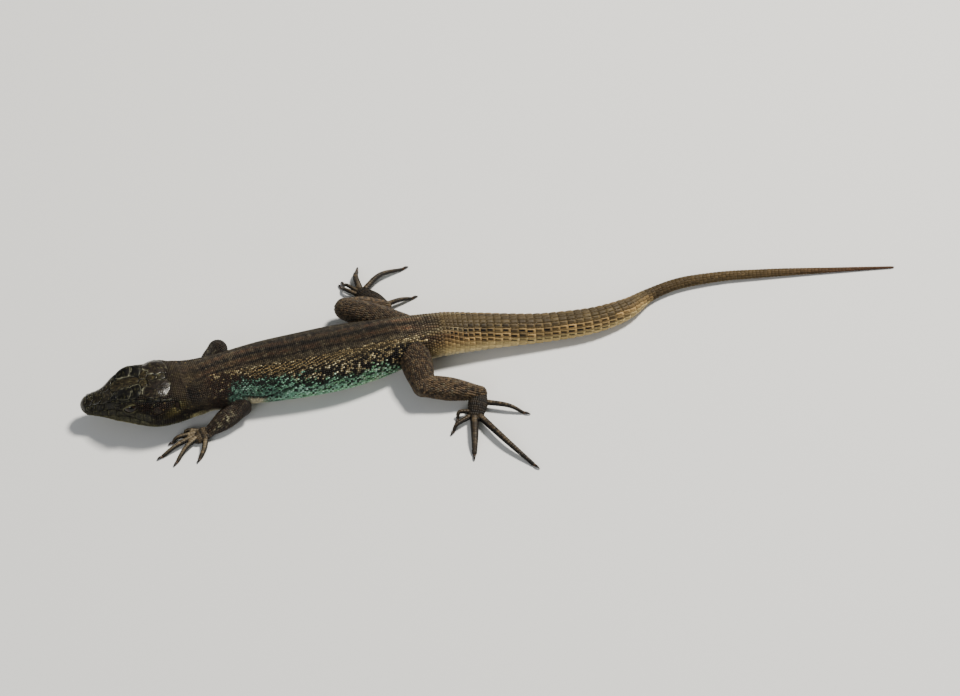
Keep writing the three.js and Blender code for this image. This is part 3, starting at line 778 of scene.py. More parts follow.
    # the tail: olive above with dark dashes at the sides, golden below, plain where it has grown again
    tail = smooth(66, 74, s)
    hue = mix(TAIL_GREY, TAIL_GOLD, smooth(0.12, 0.32, a / half))
    hue = mix(hue, TAIL_OLIVE, 0.35 + 0.3 * wide)
    hue = mix(hue * 1.1, TAIL_GREY * 0.8, 0.6 * smooth(0.4, 1, rand))
    hue = mix(hue, TAIL_UNDER, smooth(0.36, 0.52, a / half) * 0.8)
    hue = mix(hue, mix(TAIL_UNDER, BELLY, 0.8) * 0.82, smooth(0.5, 0.7, a / half) * smooth(96, 70, s))
    thread = bump(a, 2.3 + 0.25 * waves(s, q, 6, 4.0), 0.34) * smooth(80, 70, s) * 0.65
    hue = mix(hue, mix(GOLD, CREAM, 0.4), thread)
    hue = mix(hue, RUST * 1.6, bump(a, 3.7, 0.85) * smooth(80, 72, s) * 0.75)
    new = smooth(115, 118.5, s)
    plain = mix(NEW_TAIL * (1 + 0.6 * smooth(118, 136, s))[:, None], TAIL_TIP, smooth(140, 165, s))
    plain = mix(plain, TAIL_UNDER * 0.8, smooth(0.55, 0.9, a / half) * smooth(160, 140, s) * 0.6)
    plain = mix(plain, DARK, smooth(0.6, 1, rand) * 0.25)
    hue = mix(hue, plain, new)
    c = mix(c, hue, tail)
    dash = 0 if column is None else DASHES[column] * (0.75 + 0.4 * rand2 + 0.2 * fine)
    dash = np.clip(dash, 0, 1) * smooth(70, 75, s) * smooth(116, 104, s)
    show = show * (1 - tail) + np.maximum(dash, 0.12 * new) * tail
    if column is None:
        c = c * (1 - 0.22 * smooth(66, 71, s))[:, None]
        show = np.maximum(show, 0.75 * smooth(58, 64, s) * smooth(0.5, 0.4, a / half))
    spread = 0.42 - 0.22 * tail
    return c * (1 - spread + 2 * spread * rand3)[:, None], mix(DARK, BLACK, tail), show


def head_marking(s, q):
    """Colour of a head granule at (s, q), the colour of its root, and how much of the root shows."""
    rand, rand2 = rng.random((2, len(s)))
    cloud = waves(s, q, 31, 4.0)
    a = np.abs(q)
    c = mix(HEAD_DARK, HEAD_OLIVE, 0.35 + 0.35 * cloud)
    c = mix(c, HEAD_PURPLE, bump(cloud, -0.6, 0.4) * 0.6)
    temple = bump(a, 7.0, 2.2) * smooth(11.5, 13, s)
    c = mix(c, mix(RUST * 0.6, DARK, smooth(0.2, 0.7, rand)) * 0.75, temple * 0.9)
    c = c * (1 - 0.35 * temple)[:, None]
    # painted glints on a few granules of the temple
    c = mix(c, GOLD * 0.6, smooth(0.93, 0.97, rand2) * temple * 0.4)
    beyond = a - body.arc(s, mouth_angle(s))
    c = mix(c, mix(LABIAL * 0.7, GULAR * 0.8, smooth(0.8, 3.0, beyond)), smooth(0.2, 1.2, beyond) * 0.85)
    c = mix(c, JAW_OLIVE, jaw_patch(s, a) * 0.7)
    nape = smooth(17, 19, s) * smooth(6, 4.5, a)
    c = mix(c, mix(BROWN, OLIVE, 0.4 + 0.4 * cloud), nape * 0.8)
    c = mix(c, BLACK, smooth(0.75, 0.9, rand) * 0.3)
    # painted glints: a few pale granules over the head
    c = mix(c, LABIAL, smooth(0.955, 0.985, rand) * 0.5)
    return c * (0.7 + 0.6 * rand2)[:, None], np.broadcast_to(DARK, c.shape), np.full(len(s), 0.25)


def leg_marking(u, q, surface, part, fore, skin_side):
    """The same for a scale of a leg, where skin_side is its share of the way round from the top."""
    rand, rand2, rand3 = rng.random((3, len(u)))
    cloud = waves(u, q, 41, 3.2)
    fine = waves(u, q, 43, 1.5)
    if part == "digit":
        c = mix(LEG_OLIVE, TOE_OCHRE, (0.7 if fore else 0.25) + 0.3 * cloud) * (1.6 if fore else 0.75)
        # painted light: black down a digit's sides as painted shade, so only its top stays light as a painted
        # highlight
        c = mix(c, BLACK, smooth(0.2, 0.4, skin_side))
        c = mix(c, BLACK, smooth(0.1, 0.6, fine) * (0.35 if fore else 0.6))
        c = mix(c, BLACK, smooth(0.55, 0.95, u / surface.length) * 0.7)
        c = mix(c, GULAR * 0.5, smooth(0.65, 0.9, skin_side))
        show = 0.7
    elif part == "paw":
        c = mix(LEG_OLIVE, TOE_OCHRE, (0.4 if fore else 0.1) + 0.35 * cloud) * (0.95 if fore else 0.28)
        c = mix(c, BLACK, smooth(0.0, 0.6, np.sin(u * 2 * math.pi / 1.3 + q * 0.8)) * 0.75)
        c = mix(c, GULAR * 0.6, smooth(0.65, 0.9, skin_side))
        show = 0.5
    else:
        c = mix(LEG_BROWN, LEG_OLIVE, (0.8 if part == "lower" else 0.5) + 0.4 * cloud)
        c = c * (1.4 if part == "lower" else 1.2)
        c = mix(c, BLACK, smooth(0.0, 0.4, fine + 0.5 * (rand2 - 0.5)) * 0.75)
        c = mix(c, GREY_OLIVE * 2.2, smooth(0.75, 0.97, rand) * 0.6)
        if fore:
            c = mix(c, HEAD_PURPLE, 0.6) * (0.72 if part == "lower" else 0.42)
            # painted glints: pale scales in a band along one side of a fore leg, weaker on the upper arm, and
            # a few scattered ones
            along = u / surface.length
            painted_glint = bump(q / surface.half(u), -0.24, 0.13) * smooth(0.15, 0.35, along)
            painted_glint = painted_glint * smooth(1.0, 0.8, along)
            painted_glint = painted_glint * smooth(0.5, 0.56, rand3) * (0.25 + 0.6 * rand)
            painted_glint = np.maximum(painted_glint, smooth(0.93, 0.98, rand3) * 0.3)
            c = mix(c, CREAM * 0.4, painted_glint * (1 if part == "lower" else 0.6))
        ends = smooth(-0.3, 1.5, u) * smooth(0.3, -1.5, u - surface.length)
        c = mix(c, BELLY * 0.6, smooth(0.66, 0.88, skin_side) * ends)
        show = 0.75 if fore else 0.45
    return c * (0.62 + 0.76 * rand2)[:, None], np.broadcast_to(DARK, c.shape), np.full(len(u), show)

# ---------------------------------------------------------------- scales

UV_PER_MM = 0.0055  # a granule's patch is about 0.002 across, and a tail scale's 0.008 long
PATCH = 0.8  # the share of its size that a scale takes on the map, so that none lies over the next
MIDDLE_UV = (0.02, 0.25)  # where the snout tip and the top line of the body lie on the map
ROOT_REACH = 0.17  # how near the skin a scale's root has to be, or it is left out
LOWEST_SCALE = 0.012


def uv_at(u, q, origin=MIDDLE_UV):
    """Places on the map for places on a surface."""
    return np.stack([origin[0] + u * UV_PER_MM, origin[1] + q * UV_PER_MM], -1)


def paint_points(mesh, colours):
    """Gives each point of a mesh its colour."""
    layer = mesh.color_attributes.new("marking", "FLOAT_COLOR", "POINT")
    layer.data.foreach_set("color", np.concatenate([colours, np.ones((len(colours), 1))], 1).ravel())


class Coat:
    """Scales gathered into one mesh, with a colour for each point and a place on the map."""

    def __init__(self, name, slot):
        self.name, self.slot = name, slot
        self.co, self.colour, self.uv, self.quads, self.fans = [], [], [], [], []
        self.count = 0
        self.roots, self.root_colours = [], []

    def add(self, co, colour, uv, quads, fans=(), mirrored=False):
        if mirrored:
            quads, fans = quads[:, ::-1], [fan[::-1] for fan in fans]
        self.co.append(co)
        self.colour.append(colour)
        self.uv.append(uv)
        self.quads.append(quads + self.count)
        self.fans += [np.array(fan) + self.count for fan in fans]
        self.count += len(co)

    def build(self, material):
        co = np.concatenate(self.co)
        co[:, 2] = np.maximum(co[:, 2], LOWEST_SCALE)
        quads = np.concatenate(self.quads)
        loops = np.concatenate([quads.ravel()] + self.fans)
        totals = np.concatenate([np.full(len(quads), 4), [len(f) for f in self.fans]]).astype(np.int32)
        starts = np.concatenate([[0], np.cumsum(totals)[:-1]]).astype(np.int32)
        mesh = bpy.data.meshes.new(self.name)
        mesh.vertices.add(len(co))
        mesh.vertices.foreach_set("co", (co * MM).ravel())
        mesh.loops.add(len(loops))
        mesh.loops.foreach_set("vertex_index", loops.astype(np.int32))
        mesh.polygons.add(len(totals))
        mesh.polygons.foreach_set("loop_start", starts)
        mesh.polygons.foreach_set("loop_total", totals)
        mesh.polygons.foreach_set("use_smooth", np.ones(len(totals), bool))
        mesh.update(calc_edges=True)
        paint_points(mesh, np.concatenate(self.colour))
        layer = mesh.uv_layers.new(name="OFBake")
        layer.data.foreach_set("uv", np.concatenate(self.uv)[loops].ravel())
        mesh.materials.append(material)
        piece = add_object(self.name, mesh)
        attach(piece, "root")


def scale_form(along, across, rounding, keel=0.0, tilt=0.3, dome=0.35, edge=0.9, dashed=False):
    """One scale over the square from -1 to 1.

    It holds places, heights, its shading and where its root's colour shows: at its back and sides, or
    in a dash along its middle on a dashed one.
    """
    a, b = grid(along, across)
    x = a * np.sqrt(1 - rounding * np.minimum(b * b, 1) / 2)
    y = b * np.sqrt(1 - rounding * np.minimum(a * a, 1) / 2)
    reach = np.maximum(np.abs(a), np.abs(b))
    inner = np.clip(reach / edge, 0, 1)
    height = (1 - dome) + dome * (1 - inner**2) + tilt * x * (reach <= 1)
    height = height + keel * np.maximum(0, 1 - np.abs(y) / 0.4) * smooth(-1, 0.2, a) * (reach <= 1)
    height = np.where(reach > 1, -0.6, height)
    height = np.where((reach <= 1) & (reach > edge - 0.01), height * 0.62, height)
    rows, cols = len(along), len(across)
    i, j = grid(np.arange(rows - 1), np.arange(cols - 1))
    quads = np.stack([i * cols + j, (i + 1) * cols + j, (i + 1) * cols + j + 1, i * cols + j + 1], 1)
    shade = 1 - 0.3 * smooth(0.8, 1.05, reach)
    rooted = np.maximum(smooth(-0.05, -0.6, a), smooth(0.5, 0.9, np.abs(b)))
    if dashed:
        rooted = smooth(0.62, 0.3, np.abs(b)) * smooth(0.6, 0.35, a)
        # a dashed scale has deeper painted shade at its edges, and its rear is lighter, partly a pale edge
        # and partly a painted highlight
        shade = 1 - 0.5 * smooth(0.8, 1.05, reach)
        shade = shade * (0.95 + 0.3 * smooth(0.5, 0.9, a) * (reach <= 1))
    return dict(x=x, y=y, height=height, quads=quads, shade=shade, rooted=rooted)


ACROSS = [-1.1, -0.92, -0.35, 0.35, 0.92, 1.1]
GRANULE = scale_form(ACROSS, ACROSS, 0.85, keel=0.12, tilt=0.28, dome=0.5)
KEELED = scale_form([-1.05, -0.93, -0.3, 0.4, 0.94, 1.06], [-1.07, -0.93, -0.4, 0, 0.4, 0.93, 1.07], 0.35,
                    keel=0.3, tilt=0.42, dome=0.2)
WHORL = scale_form([-1.05, -0.93, -0.3, 0.1, 0.4, 0.62, 0.94, 1.06],
                   [-1.07, -0.93, -0.62, -0.3, 0, 0.3, 0.62, 0.93, 1.07], 0.22,
                   keel=0.12, tilt=0.2, dome=0.1, edge=0.93, dashed=True)
SMOOTH = scale_form([-1.05, -0.93, -0.3, 0.4, 0.94, 1.06], [-1.06, -0.94, -0.45, 0.45, 0.94, 1.06], 0.45,
                    tilt=0.3, dome=0.25)


def on_skin(points, limit):
    """Which points lie on the skin, rather than inside it where two parts join."""
    return np.array([skin_tree.find_nearest(Vector(p), limit)[0] is not None for p in points], bool)


def lay(coat, surface, form, u, q, length, width, height, colours, base, turn=0.0, place=MIDDLE_UV,
        keep=None):
    """Lays one scale at each (u, q): length along its lie, width across it, both half sizes."""
    sizes = np.broadcast_arrays(*(np.asarray(v, float) for v in (u, q, length, width, height, turn)))
    if keep is None:
        keep = on_skin(surface.place(sizes[0], sizes[1], np.full(len(sizes[0]), -base)), ROOT_REACH)
    colour, root, show = (c[keep] for c in colours)
    u, q, length, width, height, turn = (v[keep] for v in sizes)
    if not len(u):
        return
    x = form["x"][None] * length[:, None]
    y = form["y"][None] * width[:, None]
    c, s = np.cos(turn)[:, None], np.sin(turn)[:, None]
    pu = u[:, None] + x * c - y * s
    pq = q[:, None] + x * s + y * c
    lift = -base - 0.02 + form["height"][None] * height[:, None]
    n, m = pu.shape
    co = surface.place(pu.ravel(), pq.ravel(), lift.ravel())
    t = (form["rooted"][None] * show[:, None])[..., None]
    paint = (colour[:, None] * (1 - t) + root[:, None] * t) * form["shade"][None, :, None]
    uv = uv_at(u[:, None] + (pu - u[:, None]) * PATCH, q[:, None] + (pq - q[:, None]) * PATCH, place)
    quads = (np.arange(n)[:, None, None] * m + form["quads"][None]).reshape(-1, 4)
    coat.add(co, paint.reshape(-1, 3), uv.reshape(-1, 2), quads)
    coat.roots.append(surface.place(u, q, np.full(len(u), -base)))
    coat.root_colours.append(colour * 0.6 + root * 0.1)


def rows_of(surface, start, end, pitch, width, aligned=False):
    """Scales in rows round a surface, each row half a scale off the last, or all in line.

    It gives their places, and then their half lengths and half widths.
    """
    rows = []
    u = start
    while u < end:
        step = pitch(u) if callable(pitch) else pitch
        wide = width(u) if callable(width) else width
        half = float(np.atleast_1d(surface.half(np.array([u])))[0])
        count = 2 * max(3, int(round(half / wide))) if aligned else max(5, int(round(2 * half / wide)))
        q = (np.arange(count) + (0.5 if aligned else 0.5 * (len(rows) % 2))) * 2 * half / count - half
        rows.append([np.full(count, u), q, np.full(count, step / 2), np.full(count, half / count)])
        u += step
    return np.concatenate(rows, axis=1)


SLOTS = {"skin_head": ["head", "face"], "skin_body": ["neck", "back", "rump", "belly"],
         "skin_tail": ["tail", "tail_end"], "skin_legs": list(limbs)}
coats = {name: Coat("scales_" + name, slot) for slot, names in SLOTS.items() for name in names}


def lay_spans(spans, form, u, q, length, width, height, colours, turn=0.0):
    """Lays scales on the body, each in the coat that holds its span of it."""
    sizes = np.broadcast_arrays(u, q, length, width, height)
    turn = np.broadcast_to(turn, u.shape)
    for name, low, high in spans:
        part = (u >= low) & (u < high)
        lay(coats[name], body, form, *(v[part] for v in sizes), [c[part] for c in colours], COAT, turn[part])


# ---------------------------------------------------------------- scales of the body and tail


def trunk_pitch(s):
    return float(np.interp(s, [18, 24, 60, 66, 72, 76, 84, 108, 113, 119, 150, 170],
                           [0.34, 0.365, 0.38, 0.45, 0.6, 1.0, 1.66, 1.62, 1.2, 0.85, 0.75, 0.6]))


def trunk_width(s):
    return float(np.interp(s, [18, 24, 60, 68, 76, 90, 112, 120, 170],
                           [0.34, 0.355, 0.36, 0.46, 0.95, 1.05, 0.8, 0.6, 0.45]))


def ventral_edge(s):
    """How far round from the top the belly's plates start, as a q."""
    return body.half(s) * np.interp(s, [24, 30, 60, 72], [0.72, 0.7, 0.7, 0.66])


# The granules of the neck, back and flanks. Their rows lean back as they climb the flanks.
u, q, l, w = rows_of(body, 20.2, 72.5, trunk_pitch, trunk_width)
side = np.abs(q)
stripe = np.floor(side / (2 * w) + 0.5 * np.unique(u, return_inverse=True)[1] + 0.25) % 2
u = u - 0.4 * np.clip(side - 2.8, 0, 6) * smooth(22, 38, u) * smooth(70, 54, u)
jitter = rng.normal(0, 0.03, (2, len(u)))
u, q = u + jitter[0], q + jitter[1]
granule = (np.abs(q) < ventral_edge(u)) | (u < 24.8)
u, q, l, w, stripe = (v[granule] for v in (u, q, l, w, stripe))
turn = -np.sign(q) * 0.45 * smooth(3, 6, np.abs(q)) * smooth(28, 34, u) * smooth(64, 58, u)
size = 1 + 0.12 * smooth(5, 10, np.abs(q))
lay_spans([("neck", 0, 33), ("back", 33, 46), ("rump", 46, 90)], GRANULE, u, q, l * 1.2 * size, w * 1.02,
          0.18, body_marking(u, q, stripe), turn)

# The belly's six rows of plates.
plates = []
for s in np.arange(26.0, 71.5, 1.62):
    edge = ventral_edge(s)
    each = (body.half(s) - edge) / 3
    plates += [(s, sign * (edge + each * (j + 0.5)), 0.95, each / 2) for j in range(3) for sign in (1, -1)]
u, q, l, w = map(np.array, zip(*plates))
lay(coats["belly"], body, SMOOTH, u, q, l, w, 0.17, body_marking(u, q), COAT)

# The tail's whorls of long keeled scales.
u, q, l, w = rows_of(body, 72.9, LENGTH - 0.5, trunk_pitch, trunk_width, aligned=True)
u = u + l * 0.5
height = np.interp(u, [72, 110, 120, 160, 170], [0.21, 0.2, 0.15, 0.09, 0.05])
lay_spans([("tail", 0, 112), ("tail_end", 112, 200)], WHORL, u, q, l * 1.12, w * 1.0, height,
          body_marking(u, q, column=(np.abs(q) / (2 * w)).astype(int)))

# ---------------------------------------------------------------- the head's shields
# Places on the head are (s, f): f runs from 0 on the top line over 1 at the brow and 2 at the mouth
# to 3 under the chin.


def head_q(s, f):
    s, f = np.asarray(s, float), np.asarray(f, float)
    brow, lip, chin = body.arc(s, 45), body.arc(s, mouth_angle(s)), body.half(s)
    a = np.abs(f)
    below = np.where(a < 2, brow + (a - 1) * (lip - brow), lip + (a - 2) * (chin - lip))
    return np.where(a < 1, a * brow, below) * np.sign(f)


def rounded_outline(points, count, rounds=2):
    """A closed polygon with its corners cut, as evenly spaced points."""
    p = np.array(points, float)
    for _ in range(rounds):
        after = np.roll(p, -1, axis=0)
        p = np.stack([p * 0.89 + after * 0.11, p * 0.11 + after * 0.89], 1).reshape(-1, 2)
    ring = np.concatenate([p, p[:1]])
    at = lengths_along(ring)
    t = np.linspace(0, at[-1], count, endpoint=False)
    return np.stack([np.interp(t, at, ring[:, 0]), np.interp(t, at, ring[:, 1])], 1)


# A shield's outer rings: how far in from its outline, their share of its height, and of the rim's colour.
RIM_RINGS = [(-0.06, -0.5, 0), (-0.02, 0.45, 0.5), (0.02, 0.82, 1), (0.07, 0.96, 0.8), (0.16, 1, 0.1)]
# Its inner rings: how far from the last of those to its middle, and their share of its crown.
CROWN_RINGS = [(0.2, 0.3), (0.4, 0.6), (0.6, 0.8), (0.8, 0.95), (0.93, 1)]
shield_outlines = []


def shield_paint(s, q, tint, rim, rims, lit):
    """A shield's colours: mottled, with painted sparkle flecks, and a broken rim, partly a pale edge and
    partly a painted highlight that is palest where lit is high.
    """
    cloud = np.maximum(1 + 0.6 * waves(s, q, 53, 1.5) + 0.6 * waves(s, q, 54, 0.55), 0.15)
    # the rim's paleness: a pale edge all round, and a painted highlight where lit is high
    broken = np.clip(0.5 + 0.9 * waves(s, q, 55, 3.4), 0, 1) * (0.4 + 1.1 * np.clip(lit, 0, 1))
    paint = mix(tint, rim, np.clip(rims * broken, 0, 1)) * cloud[:, None]
    # painted sparkle: pale flecks away from the rim
    sparkle_fleck = smooth(0.3, 0.9, waves(s, q, 56, 1.0)) * smooth(-0.4, 0.4, waves(s, q, 57, 3.0))
    return mix(paint, mix(tint * 3, LABIAL, 0.45), 0.8 * sparkle_fleck * (rims < 0.5))


def shield(points, colour, height=0.2, crown=0.12, rim=None, count=36, sides=(1, -1), coat="face"):
    """A plate over a polygon of (s, f), with a bevelled edge and a slightly raised middle."""
    points = np.array(points, float)
    flat = np.stack([points[:, 0], head_q(points[:, 0], points[:, 1])], 1)
    rims = np.repeat([share for _, _, share in RIM_RINGS] + [0] * len(CROWN_RINGS), count)
    heights = [h * height for _, h, _ in RIM_RINGS] + [height * (1 + crown * h) for _, h in CROWN_RINGS]
    for sign in sides:
        outline = rounded_outline(flat * [1, sign], count)
        shield_outlines.append(outline)
        centre = outline.mean(0)
        reach = np.linalg.norm(centre - outline, axis=1)[:, None]
        rings = [outline + (centre - outline) * np.minimum(inset / reach, 0.75) for inset, _, _ in RIM_RINGS]
        last = rings[-1]
        rings += [last + (centre - last) * share for share, _ in CROWN_RINGS]
        s, q = np.concatenate(rings).T
        s = np.clip(s, 0.0, 30)
        q = q + lean(s, q)
        lift = np.repeat(heights, count) - COAT - 0.07 + 0.02 * waves(s, q, 51, 1.1)
        tint = colour * rng.uniform(0.85, 1.15)
        # how much each part of the rim faces the light, at the front and inner edges, for the painted rim
        # highlight
        lit = np.tile(unit(outline - centre) @ [-0.6, -0.8 * sign], len(rings))
        paint = shield_paint(s, q, tint, mix(tint, LABIAL, 0.4) if rim is None else rim, rims, lit)
        paint[: 2 * count] *= 0.4
        fan = end_rings(len(rings), count)[1]
        coats[coat].add(body.place(s, q, lift), paint, uv_at(s, q), ring_quads(len(rings), count), [fan],
                        sign < 0)
        s, q, paint = s[::3], q[::3], paint[::3]
        coats[coat].roots.append(body.place(s, q, np.full(len(s), -COAT)))
        coats[coat].root_colours.append(paint * 0.5)


def both(points):
    """A polygon across the top line, from its left half."""
    return points + [(s, -f) for s, f in reversed(points) if f > 0]


def between(edges):
    """Each place in a row of edges, with the next one."""
    return zip(edges[:-1], edges[1:])


TOP_TONE = mix(HEAD_DARK, HEAD_OLIVE, 0.35) * 0.8
SNOUT_TONE = TOP_TONE * 0.68
NAPE_TONE = mix(TOP_TONE, HEAD_OLIVE, 0.4)
EYE_TONE = mix(HEAD_DARK, BLACK, 0.5) * 0.25
CHEEK_TONE = TOP_TONE * 0.45
LOWER_TONE = mix(CHEEK_TONE, LABIAL, 0.25)
LIP_RIM = mix(CHEEK_TONE, LABIAL, 0.5)
# a painted highlight on the rims of the shields over the eyes and of the parietals
RIM_HIGHLIGHT = tone(116, 114, 94)
ON_TOP = dict(coat="head")
ACROSS_TOP = dict(coat="head", sides=(1,))

# rostral, supranasals, frontonasal, prefrontals and frontal
shield(both([(1.0, 0.0), (1.2, 0.8), (1.05, 1.5), (0.85, 1.95), (0.04, 1.95)]),
       SNOUT_TONE, 0.18, **ACROSS_TOP)
shield([(1.1, 0.03), (1.25, 0.85), (1.2, 1.12), (2.1, 1.08), (2.6, 0.72), (2.4, 0.03)], SNOUT_TONE, **ON_TOP)
shield(both([(2.5, 0.0), (2.7, 0.72), (2.3, 1.06), (3.5, 1.08), (4.6, 0.6), (4.3, 0.0)]),
       SNOUT_TONE, **ACROSS_TOP)
shield([(4.4, 0.03), (4.72, 0.6), (3.7, 1.06), (5.7, 1.05), (6.6, 0.5), (6.4, 0.26), (6.1, 0.03)],
       TOP_TONE, **ON_TOP)
shield(both([(6.2, 0.0), (6.5, 0.25), (7.0, 0.36), (8.0, 0.31), (9.5, 0.25), (11.0, 0.2), (11.8, 0.15),
             (11.95, 0.0)]),
       mix(TOP_TONE, HEAD_OLIVE, 0.15), **ACROSS_TOP)
# supraoculars, and the row of superciliaries outside them
shield([(5.9, 1.0), (6.75, 0.54), (7.15, 0.42), (7.5, 0.42), (7.35, 1.02)], EYE_TONE, count=24, **ON_TOP)
shield([(7.6, 0.38), (7.45, 1.03), (8.6, 1.06), (9.8, 1.05), (10.35, 0.85), (10.4, 0.5), (10.0, 0.27),
        (8.7, 0.31)],
       EYE_TONE, 0.21, 0.5, RIM_HIGHLIGHT)
shield([(10.15, 0.26), (10.55, 0.5), (10.5, 0.87), (10.0, 1.05), (11.6, 1.03), (12.3, 0.8), (12.35, 0.45),
        (12.0, 0.2), (11.0, 0.23)],
       EYE_TONE, 0.21, 0.4, RIM_HIGHLIGHT)
for a, b in between(np.linspace(6.2, 12.7, 7)):
    shield([(a + 0.1, 1.08), (a, 1.17), (b - 0.02, 1.17), (b + 0.08, 1.08)], EYE_TONE, 0.18, 0.2, count=20)
# frontoparietals, interparietal, occipital and parietals, and the row outside the parietals
shield([(12.05, 0.03), (12.0, 0.15), (12.15, 0.24), (12.6, 0.42), (13.4, 0.4), (13.6, 0.32), (13.5, 0.13),
        (13.3, 0.03)],
       NAPE_TONE, **ON_TOP)
shield(both([(13.4, 0.0), (13.65, 0.12), (14.6, 0.14), (15.5, 0.07), (15.6, 0.0)]),
       NAPE_TONE, count=28, **ACROSS_TOP)
shield(both([(15.7, 0.0), (15.65, 0.07), (16.4, 0.15), (17.1, 0.1), (17.2, 0.0)]),
       TOP_TONE, count=28, **ACROSS_TOP)
shield([(13.7, 0.17), (13.75, 0.38), (12.8, 0.47), (12.5, 0.82), (13.2, 0.97), (15.0, 1.0), (16.7, 0.92),
        (17.6, 0.65), (17.8, 0.35), (17.3, 0.14), (16.5, 0.19), (15.6, 0.11), (14.7, 0.18)],
       mix(TOP_TONE, HEAD_PURPLE, 0.4) * 0.8, 0.19, 0.3, RIM_HIGHLIGHT, 56, **ON_TOP)
for a, b in between([13.0, 14.4, 15.7, 16.8, 17.7]):
    shield([(a, 1.04), (a + 0.05, 1.15), (b, 1.14), (b - 0.05, 1.03)], EYE_TONE, 0.18, 0.2, count=20)
# nasals, loreals and the shields before the eye
shield([(1.25, 1.16), (1.15, 1.55), (2.0, 1.62), (2.3, 1.35), (2.05, 1.13)], CHEEK_TONE, 0.2, 0.3, count=24)
for count, outline in (
    (24, [(2.15, 1.1), (2.4, 1.34), (2.15, 1.6), (3.0, 1.6), (3.1, 1.1)]),
    (24, [(3.2, 1.1), (3.1, 1.58), (4.7, 1.57), (4.9, 1.09)]),
    (28, [(5.0, 1.1), (4.8, 1.57), (6.9, 1.55), (7.1, 1.16), (6.1, 1.1)]),
    (18, [(7.2, 1.17), (7.0, 1.36), (7.9, 1.36), (7.9, 1.17)]),
    (18, [(7.0, 1.38), (6.9, 1.6), (8.0, 1.62), (8.0, 1.38)]),
):
    shield(outline, CHEEK_TONE, count=count)
# upper and lower labials, which meet along the mouth
for a, b in between([0.95, 2.4, 3.9, 5.4, 7.1, 10.9, 12.5, 13.9]):
    high = 1.62 if b < 8 else (1.74 if b < 12 else 1.7)
    shield([(a + 0.05, high), (a - 0.02, 1.99), (b - 0.1, 1.99), (b - 0.03, high),
            ((a + b) / 2, high - 0.03)],
           mix(CHEEK_TONE, LABIAL, 0.06), 0.19, 0.15, LIP_RIM, 28)
for a, b in between([0.85, 2.1, 3.7, 5.5, 7.5, 9.7, 11.7, 13.4]):
    shield([(a, 2.02), (a + 0.05, 2.2), (b - 0.05, 2.2), (b - 0.08, 2.02)],
           LOWER_TONE, 0.18, 0.2, LIP_RIM, 24)
# mental, which runs across under the chin, and chin shields
shield([(0.04, 2.05), (0.75, 2.05), (0.88, 2.2), (1.25, 2.5), (1.4, 3.0), (1.25, 3.5), (0.88, 3.8),
        (0.75, 3.95), (0.04, 3.95)],
       LOWER_TONE, 0.18, 0.15, LIP_RIM, sides=(1,))
for k, (a, b) in enumerate(between([1.5, 2.6, 4.3, 6.4, 9.2, 11.6])):
    inner = 2.97 - 0.17 * max(k - 2, 0)
    shield([(a, inner), (a + 0.1, 2.26), (b, 2.26), (b - 0.15, inner)],
           mix(GULAR, LABIAL, 0.3) * 0.7, 0.17, 0.15, GULAR * 0.8, 30)
# the big scale in the middle of the temple
shield([(14.3, 1.5), (14.5, 1.36), (15.2, 1.3), (15.8, 1.38), (15.9, 1.52), (15.2, 1.6)],
       mix(DARK, RUST, 0.2) * 0.7, 0.17, 0.1, mix(DARK, RUST, 0.5), 26)

# ---------------------------------------------------------------- granules of the head


def inside(polygon, s, q):
    """Which points lie in a closed polygon."""
    x0, y0 = polygon.T
    x1, y1 = np.roll(polygon, -1, axis=0).T
    result = np.zeros(len(s), bool)
    for ax, ay, bx, by in zip(x0, y0, x1, y1):
        crosses = (ay > q) != (by > q)
        with np.errstate(divide="ignore", invalid="ignore"):
            result ^= crosses & (s < (bx - ax) * (q - ay) / (by - ay) + ax)
    return result


u, q, l, w = rows_of(body, 0.5, 20.3, 0.36, 0.38)
covered = np.zeros(len(u), bool)
for outline in shield_outlines:
    centre = outline.mean(0)
    grown = centre + (outline - centre) * (1 + 0.10 / np.linalg.norm(outline - centre, axis=1)[:, None])
    near = (np.abs(u - centre[0]) < 4) & (np.abs(q - centre[1]) < 5)
    covered[near] |= inside(grown, u[near], q[near])
q_leant = q + lean(u, q)
roots = body.place(u, q_leant, np.full(len(u), -COAT))
for side in SIDES:
    covered |= np.linalg.norm(roots - EYES[side], axis=1) < EYE["radius"] + 0.12
    covered |= in_ear(roots, side, 0.66, 1.02)
bare = ~covered
lay(coats["face"], body, GRANULE, u[bare], q_leant[bare], l[bare] * 1.15, w[bare], 0.18,
    head_marking(u[bare], q[bare]), COAT)

# ---------------------------------------------------------------- eyelids and nostrils


class Lid:
    """The eyelids: a cap round the eyeball with an almond opening. u runs out from the lid's edge."""

    length, height = math.radians(55), math.radians(21)  # the opening's half sizes, as angles

    def __init__(self, centre, outward, forward, radius):
        self.centre, self.out, self.radius = centre, outward, radius
        self.fore = unit(forward - outward * np.dot(forward, outward))
        self.up = np.cross(self.out, self.fore)
        if self.up[2] < 0:
            self.up = -self.up

    def edge(self, a):
        """The opening's reach from its middle, as an angle, in the direction a."""
        across, up = np.abs(np.cos(a)) / self.length, np.abs(np.sin(a)) / self.height
        return (across**2.0 + up**2.0) ** -0.5

    def half(self, u):
        return np.full(np.shape(np.atleast_1d(u)), math.pi)

    def place(self, u, q, lift):
        a = np.asarray(q)
        polar = self.edge(a) + np.asarray(u) / self.radius
        r = (self.radius + np.asarray(lift))[:, None]
        around = self.fore * np.cos(a)[:, None] + self.up * np.sin(a)[:, None]
        return self.centre + (self.out * np.cos(polar)[:, None] + around * np.sin(polar)[:, None]) * r


def head_point(s, degrees, sign):
    return body_at(np.array([s]), np.array([math.radians(degrees) * sign]), np.array([0.0]))[0]


